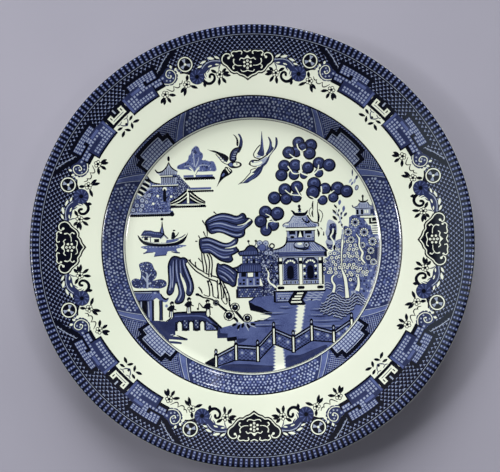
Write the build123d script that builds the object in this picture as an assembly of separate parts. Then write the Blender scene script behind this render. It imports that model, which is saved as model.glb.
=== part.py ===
"""China dinner plate: one piece of glazed ware, turned about its own axis.

The plate lies face up. +Z is its axis, the origin is the middle of the circle that the foot ring
rests on, and +Y points to the top of the printed scene. All sizes are in millimetres.
The section is drawn once, as straight runs joined by arcs, and turned through a full circle.
"""

from build123d import *

import os
from math import cos, radians, sin, tan

# Overall size.
PLATE_DIAMETER = 260.0

# Face: a flat well, a steep cavetto, and a broad rim that steepens towards the lip.
WELL_HEIGHT = 7.0  # top of the well above the table
WELL_CORNER_RADIUS = 74.8  # where the well and the cavetto would meet without their bend
WELL_BEND = 14.0
CAVETTO_SLOPE = 38.0  # degrees from level
SHOULDER_RADIUS = 87.4  # where the cavetto and the rim would meet
SHOULDER_BEND = 9.0
INNER_RIM_SLOPE = 8.0
OUTER_RIM_SLOPE = 12.0
RIM_CHANGE_RADIUS = 108.0  # where the rim steepens
RIM_BEND = 220.0

# Back: the ware is thicker in the well than at the lip.
WELL_THICKNESS = 4.6
SHOULDER_THICKNESS = 4.5
RIM_THICKNESS = 4.3
LIP_THICKNESS = 3.8
LIP_ROUNDING = 0.97  # share of half the lip's thickness that its two corners are rounded by
UNDER_SHOULDER_BEND = 12.0

# Foot ring.
FOOT_INNER_RADIUS = 72.2  # inner edge of the flat that touches the table
FOOT_OUTER_RADIUS = 75.2  # outer edge of that flat
FOOT_INNER_LEAN = 1.8  # how much narrower the recess is at its roof
FOOT_OUTER_LEAN = 1.6  # how much wider the ring is where it joins the back
FOOT_HEIGHT = 3.4  # where the foot ring's outer wall meets the back
FOOT_EDGE_ROUND = 0.7
FOOT_INNER_ROUND = 1.6
FOOT_OUTER_ROUND = 3.0

PLATE_RADIUS = PLATE_DIAMETER / 2


def face_line():
    """Corners of the face, from the axis outwards, each (radius, height, rounding)."""
    shoulder_height = WELL_HEIGHT + (SHOULDER_RADIUS - WELL_CORNER_RADIUS) * tan(radians(CAVETTO_SLOPE))
    change_height = shoulder_height + (RIM_CHANGE_RADIUS - SHOULDER_RADIUS) * tan(radians(INNER_RIM_SLOPE))
    return [
        (0.0, WELL_HEIGHT, 0.0),
        (WELL_CORNER_RADIUS, WELL_HEIGHT, WELL_BEND),
        (SHOULDER_RADIUS, shoulder_height, SHOULDER_BEND),
        (RIM_CHANGE_RADIUS, change_height, RIM_BEND),
    ]


def lip_corners(face):
    """The two corners of the lip, which is square to the outer rim before it is rounded."""
    slope = radians(OUTER_RIM_SLOPE)
    half = LIP_THICKNESS / 2
    rounding = half * LIP_ROUNDING
    reach = (half - rounding) * (cos(slope) + sin(slope)) + rounding  # from the lip's centre to its edge
    centre_radius = PLATE_RADIUS - reach
    change_radius, change_height, _ = face[-1]
    rim_height = change_height + (centre_radius - half * sin(slope) - change_radius) * tan(slope)
    centre_height = rim_height - half * cos(slope)
    along = (half * cos(slope), half * sin(slope))
    across = (-half * sin(slope), half * cos(slope))
    top = (centre_radius + along[0] + across[0], centre_height + along[1] + across[1], rounding)
    bottom = (centre_radius + along[0] - across[0], centre_height + along[1] - across[1], rounding)
    return [top, bottom]


def below(corner, slope, thickness, rounding):
    """The point of the back that lies square below a corner of the face."""
    radius, height, _ = corner
    lean = radians(slope)
    return (radius + thickness * sin(lean), height - thickness * cos(lean), rounding)


def back_line(face):
    """Corners of the back, from the lip inwards to the axis."""
    mean_rim_slope = (INNER_RIM_SLOPE + OUTER_RIM_SLOPE) / 2
    mean_shoulder_slope = (CAVETTO_SLOPE + INNER_RIM_SLOPE) / 2
    return [
        below(face[3], mean_rim_slope, RIM_THICKNESS, RIM_BEND),
        below(face[2], mean_shoulder_slope, SHOULDER_THICKNESS, UNDER_SHOULDER_BEND),
        (FOOT_OUTER_RADIUS + FOOT_OUTER_LEAN, FOOT_HEIGHT, FOOT_OUTER_ROUND),
        (FOOT_OUTER_RADIUS, 0.0, FOOT_EDGE_ROUND),
        (FOOT_INNER_RADIUS, 0.0, FOOT_EDGE_ROUND),
        (FOOT_INNER_RADIUS - FOOT_INNER_LEAN, WELL_HEIGHT - WELL_THICKNESS, FOOT_INNER_ROUND),
        (0.0, WELL_HEIGHT - WELL_THICKNESS, 0.0),
    ]


def rounded_section(corners):
    """A closed face in the XZ plane through the corners, with every corner rounded as it asks."""
    points = [Vector(radius, 0, height) for radius, height, _ in corners]
    section = make_face(Polyline(*points, close=True))
    for (_, _, rounding), point in zip(corners, points):
        if rounding:
            vertex = section.vertices().sort_by_distance(point)[0]
            section = section.face().fillet_2d(rounding, [vertex])
    return section


def plate_body():
    """The whole plate as one solid of revolution."""
    face = face_line()
    section = rounded_section(face + lip_corners(face) + back_line(face))
    return revolve(section, Axis.Z, 360)


os.makedirs("parts", exist_ok=True)
body = plate_body()
body.label = "plate_body"
export_step(body, "parts/plate_body.step")
box = body.bounding_box()
print("plate_body", "diameter", round(box.size.X, 2), "height", round(box.size.Z, 2), "lowest", round(box.min.Z, 3))
print("mass in grams at 2.35 g/cm3", round(body.volume / 1000 * 2.35))
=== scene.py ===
"""Looks of the china dinner plate: glazed ware with a traditional blue transfer print.

The plate lies face up, +Z out of its face and +Y to the top of the printed scene, as in the CAD
model. Drawings are in millimetres and meshes in metres. The print is drawn as flat artwork, in
painter's order, cut into areas of one ink each, and laid on the face as a film under the gloss.
"""

import math
import random

import bmesh
import bpy
import numpy as np
from mathutils import Matrix, Vector
from mathutils.geometry import delaunay_2d_cdt


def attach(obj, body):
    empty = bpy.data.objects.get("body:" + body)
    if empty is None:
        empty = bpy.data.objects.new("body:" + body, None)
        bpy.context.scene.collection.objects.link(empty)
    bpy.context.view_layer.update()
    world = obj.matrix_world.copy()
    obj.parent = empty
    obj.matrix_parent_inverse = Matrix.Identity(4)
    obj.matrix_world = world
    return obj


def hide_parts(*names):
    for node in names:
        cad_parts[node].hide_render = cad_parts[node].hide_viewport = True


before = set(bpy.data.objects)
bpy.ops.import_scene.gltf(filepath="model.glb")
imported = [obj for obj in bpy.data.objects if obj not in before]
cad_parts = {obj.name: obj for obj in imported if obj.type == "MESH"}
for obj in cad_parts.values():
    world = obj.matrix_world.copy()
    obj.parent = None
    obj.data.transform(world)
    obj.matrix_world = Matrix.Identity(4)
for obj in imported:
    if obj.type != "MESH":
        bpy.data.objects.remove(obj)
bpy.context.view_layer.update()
MM = 0.001

# --- The ware: its section, with the same driving dimensions as the CAD model ---

PLATE_RADIUS = 130.0
WELL_HEIGHT = 7.0
WELL_CORNER_RADIUS = 74.8
WELL_BEND = 14.0
CAVETTO_SLOPE = math.radians(38.0)
SHOULDER_RADIUS = 87.4
SHOULDER_BEND = 9.0
INNER_RIM_SLOPE = math.radians(8.0)
OUTER_RIM_SLOPE = math.radians(12.0)
RIM_CHANGE_RADIUS = 108.0
RIM_BEND = 220.0
WELL_THICKNESS = 4.6
SHOULDER_THICKNESS = 4.5
RIM_THICKNESS = 4.3
LIP_THICKNESS = 3.8
LIP_ROUNDING = 0.97
UNDER_SHOULDER_BEND = 12.0
FOOT_INNER_RADIUS = 72.2
FOOT_OUTER_RADIUS = 75.2
FOOT_INNER_LEAN = 1.8
FOOT_OUTER_LEAN = 1.6
FOOT_HEIGHT = 3.4
FOOT_EDGE_ROUND = 0.7
FOOT_INNER_ROUND = 1.6
FOOT_OUTER_ROUND = 3.0

TURN_STEPS = 360  # faces round the plate
ARC_STEP = math.radians(4.0)  # turn between two points of a rounding
RUN_STEP = 6.0  # longest straight run between two points of the section


def face_corners():
    """Corners of the face, from the axis outwards, each (radius, height, rounding)."""
    shoulder_height = WELL_HEIGHT + (SHOULDER_RADIUS - WELL_CORNER_RADIUS) * math.tan(CAVETTO_SLOPE)
    change_height = shoulder_height + (RIM_CHANGE_RADIUS - SHOULDER_RADIUS) * math.tan(INNER_RIM_SLOPE)
    return [
        (0.0, WELL_HEIGHT, 0.0), (WELL_CORNER_RADIUS, WELL_HEIGHT, WELL_BEND),
        (SHOULDER_RADIUS, shoulder_height, SHOULDER_BEND), (RIM_CHANGE_RADIUS, change_height, RIM_BEND),
    ]


def lip_corners():
    """The two corners of the lip, square to the outer rim before rounding."""
    half = LIP_THICKNESS / 2
    rounding = half * LIP_ROUNDING
    cosine = math.cos(OUTER_RIM_SLOPE)
    sine = math.sin(OUTER_RIM_SLOPE)
    reach = (half - rounding) * (cosine + sine) + rounding
    radius = PLATE_RADIUS - reach
    change_radius, change_height, _ = face_corners()[-1]
    rim_height = change_height + (radius - half * sine - change_radius) * math.tan(OUTER_RIM_SLOPE)
    height = rim_height - half * cosine
    return [
        (radius + half * (cosine - sine), height + half * (sine + cosine), rounding),
        (radius + half * (cosine + sine), height + half * (sine - cosine), rounding),
    ]


def below(corner, slope, thickness, rounding):
    """The point of the back that lies square below a corner of the face."""
    radius, height, _ = corner
    return (radius + thickness * math.sin(slope), height - thickness * math.cos(slope), rounding)


def back_corners():
    """Corners of the back, from the lip inwards, without the flat that the plate stands on."""
    shoulder, change = face_corners()[2:]
    rim_slope = (INNER_RIM_SLOPE + OUTER_RIM_SLOPE) / 2
    shoulder_slope = (CAVETTO_SLOPE + INNER_RIM_SLOPE) / 2
    return [
        below(change, rim_slope, RIM_THICKNESS, RIM_BEND),
        below(shoulder, shoulder_slope, SHOULDER_THICKNESS, UNDER_SHOULDER_BEND),
        (FOOT_OUTER_RADIUS + FOOT_OUTER_LEAN, FOOT_HEIGHT, FOOT_OUTER_ROUND),
        (FOOT_OUTER_RADIUS, 0.0, FOOT_EDGE_ROUND),
        (FOOT_INNER_RADIUS, 0.0, FOOT_EDGE_ROUND),
        (FOOT_INNER_RADIUS - FOOT_INNER_LEAN, WELL_HEIGHT - WELL_THICKNESS, FOOT_INNER_ROUND),
        (0.0, WELL_HEIGHT - WELL_THICKNESS, 0.0),
    ]


def arc_at(before, corner, after):
    """The arc that rounds a corner between its two neighbours, as points."""
    here = Vector(corner[:2])
    rounding = corner[2]
    back = (Vector(before[:2]) - here).normalized()
    onward = (Vector(after[:2]) - here).normalized()
    half = back.angle(onward) / 2
    centre = here + (back + onward).normalized() * (rounding / math.sin(half))
    start = here + back * (rounding / math.tan(half)) - centre
    end = here + onward * (rounding / math.tan(half)) - centre
    turn = math.pi - 2 * half
    steps = max(3, math.ceil(turn / ARC_STEP))
    points = []
    for step in range(steps + 1):
        share = step / steps
        near = math.sin((1 - share) * turn) / math.sin(turn)
        far = math.sin(share * turn) / math.sin(turn)
        points.append(centre + start * near + end * far)
    return points


def section_line():
    """The whole section from the axis over the face, round the lip and back to the axis."""
    corners = face_corners() + lip_corners() + back_corners()
    drawn = [Vector(corners[0][:2])]
    for before, corner, after in zip(corners, corners[1:], corners[2:]):
        drawn += arc_at(before, corner, after)
    drawn.append(Vector(corners[-1][:2]))
    line = [drawn[0]]
    for start, end in zip(drawn, drawn[1:]):
        steps = max(1, math.ceil((end - start).length / RUN_STEP))
        line += [start.lerp(end, step / steps) for step in range(1, steps + 1)]
    return line


SECTION = section_line()
LIP_INDEX = SECTION.index(max(SECTION, key=lambda point: point.x))
FACE = SECTION[:LIP_INDEX + 1]
FACE_RADII = [point.x for point in FACE]
FACE_HEIGHTS = [point.y for point in FACE]


def face_slopes():
    """Slope of the face at each of its points, as an angle."""
    slopes = []
    for before, after in zip(FACE[:1] + FACE[:-1], FACE[1:] + FACE[-1:]):
        slopes.append(math.atan2(after.y - before.y, after.x - before.x))
    return slopes


FACE_SLOPES = face_slopes()
FILM_LIFT = 0.03  # the print stands this far off the face, so that the two surfaces don't meet


def on_face(points):
    """Places and normals on the face, in metres, for an array of (x, y) in millimetres."""
    radii = np.maximum(np.hypot(points[:, 0], points[:, 1]), 1e-9)
    heights = np.interp(radii, FACE_RADII, FACE_HEIGHTS)
    slopes = np.interp(radii, FACE_RADII, FACE_SLOPES)
    inward = -np.sin(slopes)[:, None] * points / radii[:, None]
    normals = np.column_stack([inward, np.cos(slopes)])
    places = np.column_stack([points, heights]) + normals * FILM_LIFT
    return places * MM, normals


# --- Meshes ---


def new_object(name, mesh, material):
    """A piece of the plate with its finish, riding on the plate's one body."""
    mesh.materials.append(material)
    piece = bpy.data.objects.new(name, mesh)
    bpy.context.scene.collection.objects.link(piece)
    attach(piece, "root")
    return piece


def turned(name, line):
    """A mesh turned about the plate's axis from a line of (radius, height) in millimetres."""
    shape = bmesh.new()
    corners = [shape.verts.new((point.x * MM, 0.0, point.y * MM)) for point in line]
    for pair in zip(corners, corners[1:]):
        shape.edges.new(pair)
    parts = shape.verts[:] + shape.edges[:]
    full = 2 * math.pi
    bmesh.ops.spin(shape, geom=parts, axis=(0, 0, 1), cent=(0, 0, 0), angle=full, steps=TURN_STEPS,
                   use_merge=True)
    bmesh.ops.remove_doubles(shape, verts=shape.verts[:], dist=1e-7)
    for side in shape.faces:
        side.smooth = True
    mesh = bpy.data.meshes.new(name)
    shape.to_mesh(mesh)
    shape.free()
    return mesh


# --- Artwork ---


def flat(point):
    """Drawing coordinates that are already (x, y) in millimetres."""
    return point


def polar(point):
    """(degrees clockwise from the top, radius) to (x, y)."""
    angle = math.radians(point[0])
    return (point[1] * math.sin(angle), point[1] * math.cos(angle))


def smooth_line(points, closed, steps):
    """Points along a curve that runs smoothly through the given ones (Catmull-Rom)."""
    marks = [Vector(point) for point in points]
    if closed:
        marks = [marks[-1]] + marks + marks[:2]
    else:
        marks = [2 * marks[0] - marks[1]] + marks + [2 * marks[-1] - marks[-2]]
    line = []
    for a, b, c, d in zip(marks, marks[1:], marks[2:], marks[3:]):
        for step in range(steps):
            t = step / steps
            bend = (2 * a - 5 * b + 4 * c - d) * t * t + (3 * b - a - 3 * c + d) * t * t * t
            line.append((2 * b + (c - a) * t + bend) / 2)
    if not closed:
        line.append(marks[-2])
    return line


def signed_area(outline):
    """Positive where the outline runs anticlockwise."""
    return sum(a[0] * b[1] - b[0] * a[1] for a, b in zip(outline, outline[1:] + outline[:1])) / 2


class Artwork:
    """A flat drawing in millimetres, built like a painting: a later shape covers earlier ones.

    place turns drawing coordinates into (x, y); arc_step is how far, in drawing degrees, a
    straight side may run before it needs another point to follow the plate's circle.
    """

    def __init__(self, place=flat, arc_step=None):
        self.place = place
        self.arc_step = arc_step
        self.shapes = []

    def placed(self, points, closed):
        """The points on the plate, with more between them where a side has to follow a circle."""
        if not self.arc_step:
            return [self.place(point) for point in points]
        ends = points[1:] + points[:1] if closed else points[1:]
        line = []
        for start, end in zip(points, ends):
            steps = max(1, math.ceil(abs(end[0] - start[0]) / self.arc_step))
            for step in range(steps):
                share = step / steps
                line.append(self.place([a + (b - a) * share for a, b in zip(start, end)]))
        if not closed:
            line.append(self.place(points[-1]))
        return line

    def add(self, ink, outline):
        """An outline that is already in millimetres."""
        outline = [tuple(point) for point in outline]
        if signed_area(outline) < 0:
            outline.reverse()
        self.shapes.append((ink, outline))

    def area(self, ink, points):
        """A shape with straight sides."""
        self.add(ink, self.placed(points, True))

    def block(self, ink, left, right, low, high):
        """An upright rectangle, or its polar counterpart."""
        self.area(ink, [(left, low), (right, low), (right, high), (left, high)])

    def blob(self, ink, points, steps=4):
        """A shape with a smooth outline through the points."""
        self.add(ink, smooth_line([self.place(point) for point in points], True, steps))

    def disc(self, ink, centre, radius, sides=14, squash=1.0, lean=0.0):
        """A disc or, squashed across its lean, an ellipse."""
        middle = Vector(self.place(centre))
        turn = Matrix.Rotation(math.radians(lean), 2)
        outline = []
        for side in range(sides):
            angle = 2 * math.pi * side / sides
            outline.append(middle + turn @ Vector((radius * math.cos(angle),
                                                   radius * squash * math.sin(angle))))
        self.add(ink, outline)

    def line(self, ink, points, width, smooth=True, steps=4, ends=None):
        """A stroke through the points. width is one number, or one for each point; ends adds round caps."""
        widths = width if isinstance(width, (list, tuple)) else [width] * len(points)
        if smooth:
            centre = smooth_line([self.place(point) for point in points], False, steps)
            widths = np.interp(np.arange(len(centre)) / steps, range(len(widths)), widths)
        else:
            centre = [Vector(point) for point in self.placed(points, False)]
            widths = np.interp(np.linspace(0, 1, len(centre)), np.linspace(0, 1, len(widths)), widths)
        sides = []
        for index, here in enumerate(centre):
            along_in = (here - centre[max(index - 1, 0)]).normalized()
            along_out = (centre[min(index + 1, len(centre) - 1)] - here).normalized()
            along = (along_in + along_out).normalized()
            mitre = max(along.dot(along_in if index else along_out), MITRE_LIMIT)
            across = Vector((-along.y, along.x)) * (widths[index] / 2 / mitre)
            sides.append((here + across, here - across))
        for (left, right), (next_left, next_right) in zip(sides, sides[1:]):
            self.add(ink, [left, right, next_right, next_left])
        if ends:
            for place, size in ((centre[0], widths[0]), (centre[-1], widths[-1])):
                self.add(ink, [place + Vector((math.cos(a), math.sin(a))) * size / 2 for a in CAP_ANGLES])

    def rule(self, ink, start, end, width):
        """A straight stroke between two points."""
        self.line(ink, [start, end], width, smooth=False)

    def leaf(self, ink, start, end, width):
        """A pointed leaf from start to end."""
        a = Vector(self.place(start))
        b = Vector(self.place(end))
        self.add(ink, smooth_leaf(a, b, across_of(a, b, width)))

    def areas(self, guides, keep):
        """The visible areas as {ink: [triangles]} and the corner points they share."""
        points = []
        edges = []
        closed = [outline + outline[:1] for _, outline in self.shapes]
        for line in closed + guides:
            edges += [(len(points) + step, len(points) + step + 1) for step in range(len(line) - 1)]
            points += line
        marks = [Vector(point) for point in points]
        corners, _, triangles, _, _, _ = delaunay_2d_cdt(marks, edges, [], 0, MERGE)
        corners = np.array([tuple(corner) for corner in corners])
        triangles = np.array([tuple(triangle) for triangle in triangles])
        middles = corners[triangles].mean(axis=1)
        order = np.argsort(middles[:, 0])
        triangles = triangles[order]
        middles = middles[order]
        top = np.full(len(triangles), -1)
        for number, (_, outline) in enumerate(self.shapes):
            ring = np.array(outline)
            first, last = np.searchsorted(middles[:, 0], (ring[:, 0].min(), ring[:, 0].max()))
            heights = middles[first:last, 1]
            near = first + np.flatnonzero((heights > ring[:, 1].min()) & (heights < ring[:, 1].max()))
            top[near[turns_round(middles[near], ring) != 0]] = number
        found = {}
        for triangle, middle, number in zip(triangles.tolist(), middles, top):
            ink = self.shapes[number][0] if number >= 0 else "white"
            if ink != "white" and keep(middle):
                found.setdefault(ink, []).append(triangle)
        return found, corners


def turns_round(places, ring):
    """How often a closed outline turns round each place; 0 is outside."""
    x, y = places[:, :1], places[:, 1:]
    start_x, start_y = ring.T
    end_x, end_y = np.roll(ring, -1, axis=0).T
    side = (end_x - start_x) * (y - start_y) - (x - start_x) * (end_y - start_y)
    rising = (start_y <= y) & (end_y > y) & (side > 0)
    falling = (start_y > y) & (end_y <= y) & (side < 0)
    return rising.sum(axis=1) - falling.sum(axis=1)


CAP_SIDES = 10
CAP_ANGLES = [2 * math.pi * step / CAP_SIDES for step in range(CAP_SIDES)]
MITRE_LIMIT = 0.5  # a stroke's corner is at most twice as wide as the stroke
MERGE = 0.002  # corner points nearer than this, in millimetres, are one


def tapered(points, thin, thick):
    """A width for each point of a stroke: thin at both ends and thick between them."""
    return [thin] + [thick] * (len(points) - 2) + [thin]


def across_of(a, b, width):
    """Half the width of a shape from a to b, as a vector square to it."""
    return Vector((a.y - b.y, b.x - a.x)).normalized() * width / 2


def smooth_leaf(a, b, across):
    """The outline of a leaf from a to b, widest a little past its middle."""
    outline = [a]
    for share, width in LEAF_SIDE:
        outline.append(a.lerp(b, share) + across * width)
    outline.append(b)
    for share, width in reversed(LEAF_SIDE):
        outline.append(a.lerp(b, share) - across * width)
    return outline


LEAF_SIDE = [(0.15, 0.45), (0.35, 0.85), (0.55, 1.0), (0.75, 0.8), (0.9, 0.4)]


def film(name, ink, triangles, corners, copies):
    """One ink of a drawing as a piece that lies on the face; copies are the 2-D turns it repeats by."""
    used = sorted({corner for triangle in triangles for corner in triangle})
    number = {corner: index for index, corner in enumerate(used)}
    flat_points = corners[used]
    faces = np.array([[number[corner] for corner in triangle] for triangle in triangles])
    all_points = []
    all_faces = []
    for step, turn in enumerate(copies):
        all_points.append(flat_points @ np.array(turn).T)
        mirrored = np.linalg.det(np.array(turn)) < 0
        all_faces.append((faces[:, ::-1] if mirrored else faces) + step * len(used))
    places, normals = on_face(np.vstack(all_points))
    mesh = bpy.data.meshes.new(name)
    mesh.from_pydata(places.tolist(), [], np.vstack(all_faces).tolist())
    mesh.polygons.foreach_set("use_smooth", [True] * len(mesh.polygons))
    mesh.normals_split_custom_set_from_vertices(normals.tolist())
    new_object(name, mesh, INKS[ink])


def print_on(name, artwork, copies, guides, keep):
    """Lays a drawing on the face, one piece for each ink."""
    found, corners = artwork.areas(guides, keep)
    for ink in sorted(found):
        film(f"{name}_{ink}", ink, found[ink], corners, copies)


# --- Rim print: one eighth of the circle, then mirrored and turned ---

SECTOR = 45.0  # degrees that one part of a border covers before it mirrors
OVERLAP = 4.0  # how far artwork is drawn past the sector, to be cut off there
TICK_PITCH = 360 / 260
TICK_INNER = 123.6
TICK_OUTER = 129.7
RIM_PRINT_INNER = 96
SCALE_PITCH = 1.4  # degrees between two scales of a row
SCALE_ROW = 1.5
SCALE_TOP = 122.4  # radius of the outermost row
SCALE_CLEARANCE = 1.2  # a scale is left out when it's nearer than this to the ground's lower edge

# Lower edge of the rim's dark ground, behind the motifs.
GROUND_FOOT = [
    (-OVERLAP, 112), (8, 108.6), (9.5, 109.4), (11.5, 109.8), (13.2, 108.6), (14.6, 106), (16.8, 103.5),
    (18.7, 106.4), (20.2, 108.4), (21.4, 109.2), (22, 112), (24, 114.5), (27, 113), (28, 112),
    (SECTOR + OVERLAP, 112),
]


def beside(point, along, out):
    """A polar point moved along its circle and outwards, in millimetres."""
    angle, radius = point
    return (angle + math.degrees(along / radius), radius + out)


def mirrored(points):
    """A polar outline's right half, completed by its mirror image about the top."""
    return list(points) + [(-angle, radius) for angle, radius in reversed(points)]


def cell(art, ink, middle, across, up):
    """A small upright rectangle about a polar point; across and up are half its sides, in millimetres."""
    art.area(ink, [beside(middle, x * across, y * up) for x, y in SQUARE])


SQUARE = [(-1, -1), (1, -1), (1, 1), (-1, 1)]
SCALE = [(-0.68, 0.45), (0, -0.6), (0.68, 0.45), (0.3, 0.45), (0, 0.0), (-0.3, 0.45)]  # a V, in millimetres


def tick_band(art):
    """Dark bars round the lip, with three pale dashes in each gap between them."""
    art.block("line", -OVERLAP, SECTOR + OVERLAP, TICK_INNER, TICK_OUTER)
    for tick in range(-3, 36):
        middle = (tick + 0.5) * TICK_PITCH
        art.block("navy", middle - 0.38, middle + 0.38, 124.3, 129.6)
        for radius in (125.2, 127.0, 128.7):
            cell(art, "cobalt", (middle, radius), 0.6, 0.52)
            cell(art, "wash", (middle, radius), 0.34, 0.24)
    art.block("wash", -OVERLAP, SECTOR + OVERLAP, 123.7, 123.95)


def scale_ground(art):
    """The dark ground with its rows of pale scales."""
    top = [(SECTOR + OVERLAP, 123.65), (-OVERLAP, 123.65)]
    art.area("line", GROUND_FOOT + top)
    feet = np.array(GROUND_FOOT)
    for row in range(10):
        radius = SCALE_TOP - row * SCALE_ROW
        for column in range(-2, 34):
            angle = (column + row % 2 / 2) * SCALE_PITCH
            if radius - SCALE_CLEARANCE > np.interp(angle, feet[:, 0], feet[:, 1]):
                for ink, size in (("cobalt", 1.35), ("wash", 0.85)):
                    art.area(ink, [beside((angle, radius), x * size, y * size) for x, y in SCALE])


def slanted_bar(art):
    """The thick bar that runs down from the lip to the fret, with a pale line beside it."""
    art.area("line", [(19.2, 123.6), (21.3, 123.6), (27.7, 114.8), (27.7, 112.2), (26.4, 113.4)])
    art.rule("wash", (22.3, 123.0), (27.6, 115.8), 0.4)


def cartouche(art):
    """The dark cloud-collar shield with its white scrolls, centred on the sector's edge."""
    body = [
        (0, 114.4), (1.2, 115.3), (2.4, 115.1), (4.2, 115.2), (5.0, 114.2), (6.3, 114.5), (7.7, 113.4),
        (8.4, 111.2), (8.4, 109.2), (7.9, 107.2), (7.0, 105.9), (6.4, 104.4), (5.8, 102.4), (4.8, 101.2),
        (3.6, 101.2), (2.9, 100.0), (1.5, 99.0), (0, 97.0),
    ]
    art.area("line", mirrored(body))
    edge = [
        (5.7, 110.9), (5.15, 112.0), (5.5, 113.1), (6.4, 113.5), (7.3, 112.6), (7.8, 110.9), (7.8, 109.3),
        (7.3, 107.7), (6.6, 106.6), (6.0, 104.9), (5.3, 103.2), (4.5, 102.3), (3.6, 102.3), (3.1, 101.7),
        (2.5, 100.9), (1.4, 100.2), (0, 98.5),
    ]
    arch = [(1.75, 112.6), (1.6, 113.8), (2.3, 114.4), (3.2, 114.1), (4.1, 114.4), (4.75, 113.4),
            (4.45, 112.0)]
    for side in (1, -1):
        art.line("white", [(side * a, r) for a, r in edge], 0.62)
        art.line("white", [(side * a, r) for a, r in arch], 0.6, ends=True)
        art.disc("white", (side * 5.75, 110.9), 0.75)
        art.disc("white", (side * 4.45, 112.0), 0.6)
        art.line("white", [(0, 113.6), (side * 1.1, 114.6)], 0.55)
        art.line("white", [(0, 110.9), (side * 1.0, 109.7), (side * 1.9, 110.2), (side * 2.45, 109.2)], 0.55,
                 ends=True)
        scroll = [(4.2, 109.7), (4.4, 108.2), (4.0, 106.9), (3.1, 106.0), (1.9, 105.8)]
        art.line("white", [(side * a, r) for a, r in scroll], [0.9, 0.5, 0.5, 0.45, 0.4], ends=True)
        art.line("white", [(side * 4.0, 106.8), (side * 4.75, 105.6), (side * 4.5, 104.5)], [0.4, 0.5, 0.9],
                 ends=True)
        foot = [(0, 103.0), (0.9, 102.4), (1.8, 102.4), (2.2, 103.3)]
        art.line("white", [(side * a, r) for a, r in foot], 0.5, ends=True)
        for angle, radius in ((1.02, 107.7), (1.02, 105.5)):
            art.disc("white", (side * angle, radius), 0.72, 10)
    art.area("white", mirrored([(0, 111.8), (0.8, 110.2), (0.5, 109.9)]))
    for radius in (108.5, 106.5, 104.4):
        art.disc("white", (0, radius), 0.75, 10)
        art.disc("cobalt", (0, radius), 0.25, 6)


PETALS_REACH = 1.7  # from a flower's centre to where its leaves begin


def flower(art, centre, leaves):
    """A five-petalled flower with dark leaves, each given by its tip."""
    for tip in leaves:
        here = Vector(art.place(centre))
        there = Vector(art.place(tip))
        base = here.lerp(there, PETALS_REACH / (there - here).length)
        width = min(1.9, (there - base).length * 0.6)
        art.add("line", smooth_leaf(base, there, across_of(base, there, width)))
    for ink, size in (("line", 1.05), ("white", 0.66)):
        for petal in range(5):
            angle = math.radians(90 + 72 * petal)
            place = beside(centre, 1.35 * math.cos(angle), 1.35 * math.sin(angle))
            art.disc(ink, place, size, 10)
    art.disc("line", centre, 0.88, 10)


def acanthus(art):
    """The arched leaf beside the cartouche, its white lobes, and the snail curl under it."""
    back = [(8.0, 108.7), (9.5, 109.6), (11.3, 110.0), (13.0, 109.0), (14.3, 107.0), (15.0, 104.6)]
    art.line("navy", back, [1.6, 2.2, 2.3, 2.2, 2.0, 1.6])
    crest = [(8.2, 109.6), (9.6, 110.4), (11.3, 110.8), (13.1, 109.9), (14.5, 107.9)]
    art.blob("navy", [(8.2, 109.4), (9.4, 107.2), (12.0, 106.9), (14.4, 104.6), (15.4, 107), (13.8, 109.6),
                      (11, 110.4)])
    art.line("wash", crest, 0.5)
    for base, tip, width in (
        ((8.5, 111.2), (10.0, 113.2), 1.3), ((10.1, 111.7), (12.2, 113.2), 1.6),
        ((12.6, 111.7), (14.7, 111.0), 1.3), ((14.2, 109.6), (15.8, 109.2), 1.1),
        ((8.9, 108.0), (10.3, 108.6), 0.9), ((11.1, 108.4), (12.6, 107.9), 1.0),
    ):
        art.leaf("white", base, tip, width)
    for stem in (
        [(8.5, 107.9), (9.1, 106.4), (9.4, 104.6)], [(11.9, 107.9), (12.4, 106.2), (13.2, 104.8)],
        [(13.3, 107.2), (13.9, 105.2), (13.8, 102.6)], [(14.3, 105.6), (14.5, 103.4), (14.2, 101.6)],
    ):
        art.line("navy", stem, [0.35, 0.7, 0.3])
    curl = [
        (12.75, 102.0), (12.55, 103.0), (11.95, 103.4), (11.3, 102.4), (11.25, 100.8), (11.8, 99.2),
        (13.0, 98.3), (14.2, 98.9), (15.0, 100.6), (15.3, 102.4),
    ]
    art.line("line", curl, [1.5, 1.5, 1.4, 1.4, 1.5, 1.6, 1.7, 1.8, 1.9, 1.6], ends=True)
    art.leaf("line", (14.9, 100.4), (15.2, 96.9), 2.0)


def rosette(art, centre):
    """The round blue rose with a ring of petals."""
    art.disc("navy", centre, 4.5, 28)
    for petal in range(9):
        angle = 2 * math.pi * petal / 9
        inner = beside(centre, 1.9 * math.cos(angle), 1.9 * math.sin(angle))
        outer = beside(centre, 3.9 * math.cos(angle + 0.25), 3.9 * math.sin(angle + 0.25))
        art.line("cobalt", [inner, outer], [0.25, 0.7], smooth=False)
    art.disc("line", centre, 1.25, 12)


def medallion(art, centre):
    """A white ring round a dark disc that three pale rays divide."""
    art.disc("line", centre, 4.85, 28)
    art.disc("white", centre, 4.4, 28)
    art.disc("line", centre, 3.7, 28)
    for ray in (90, 210, 330):
        side = [math.radians(ray + turn) for turn in (-20, 20)]
        corners = [beside(centre, 3.2 * math.cos(a), 3.2 * math.sin(a)) for a in side]
        art.area("wash", [centre] + corners)
    art.disc("white", centre, 0.75, 10)


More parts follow.
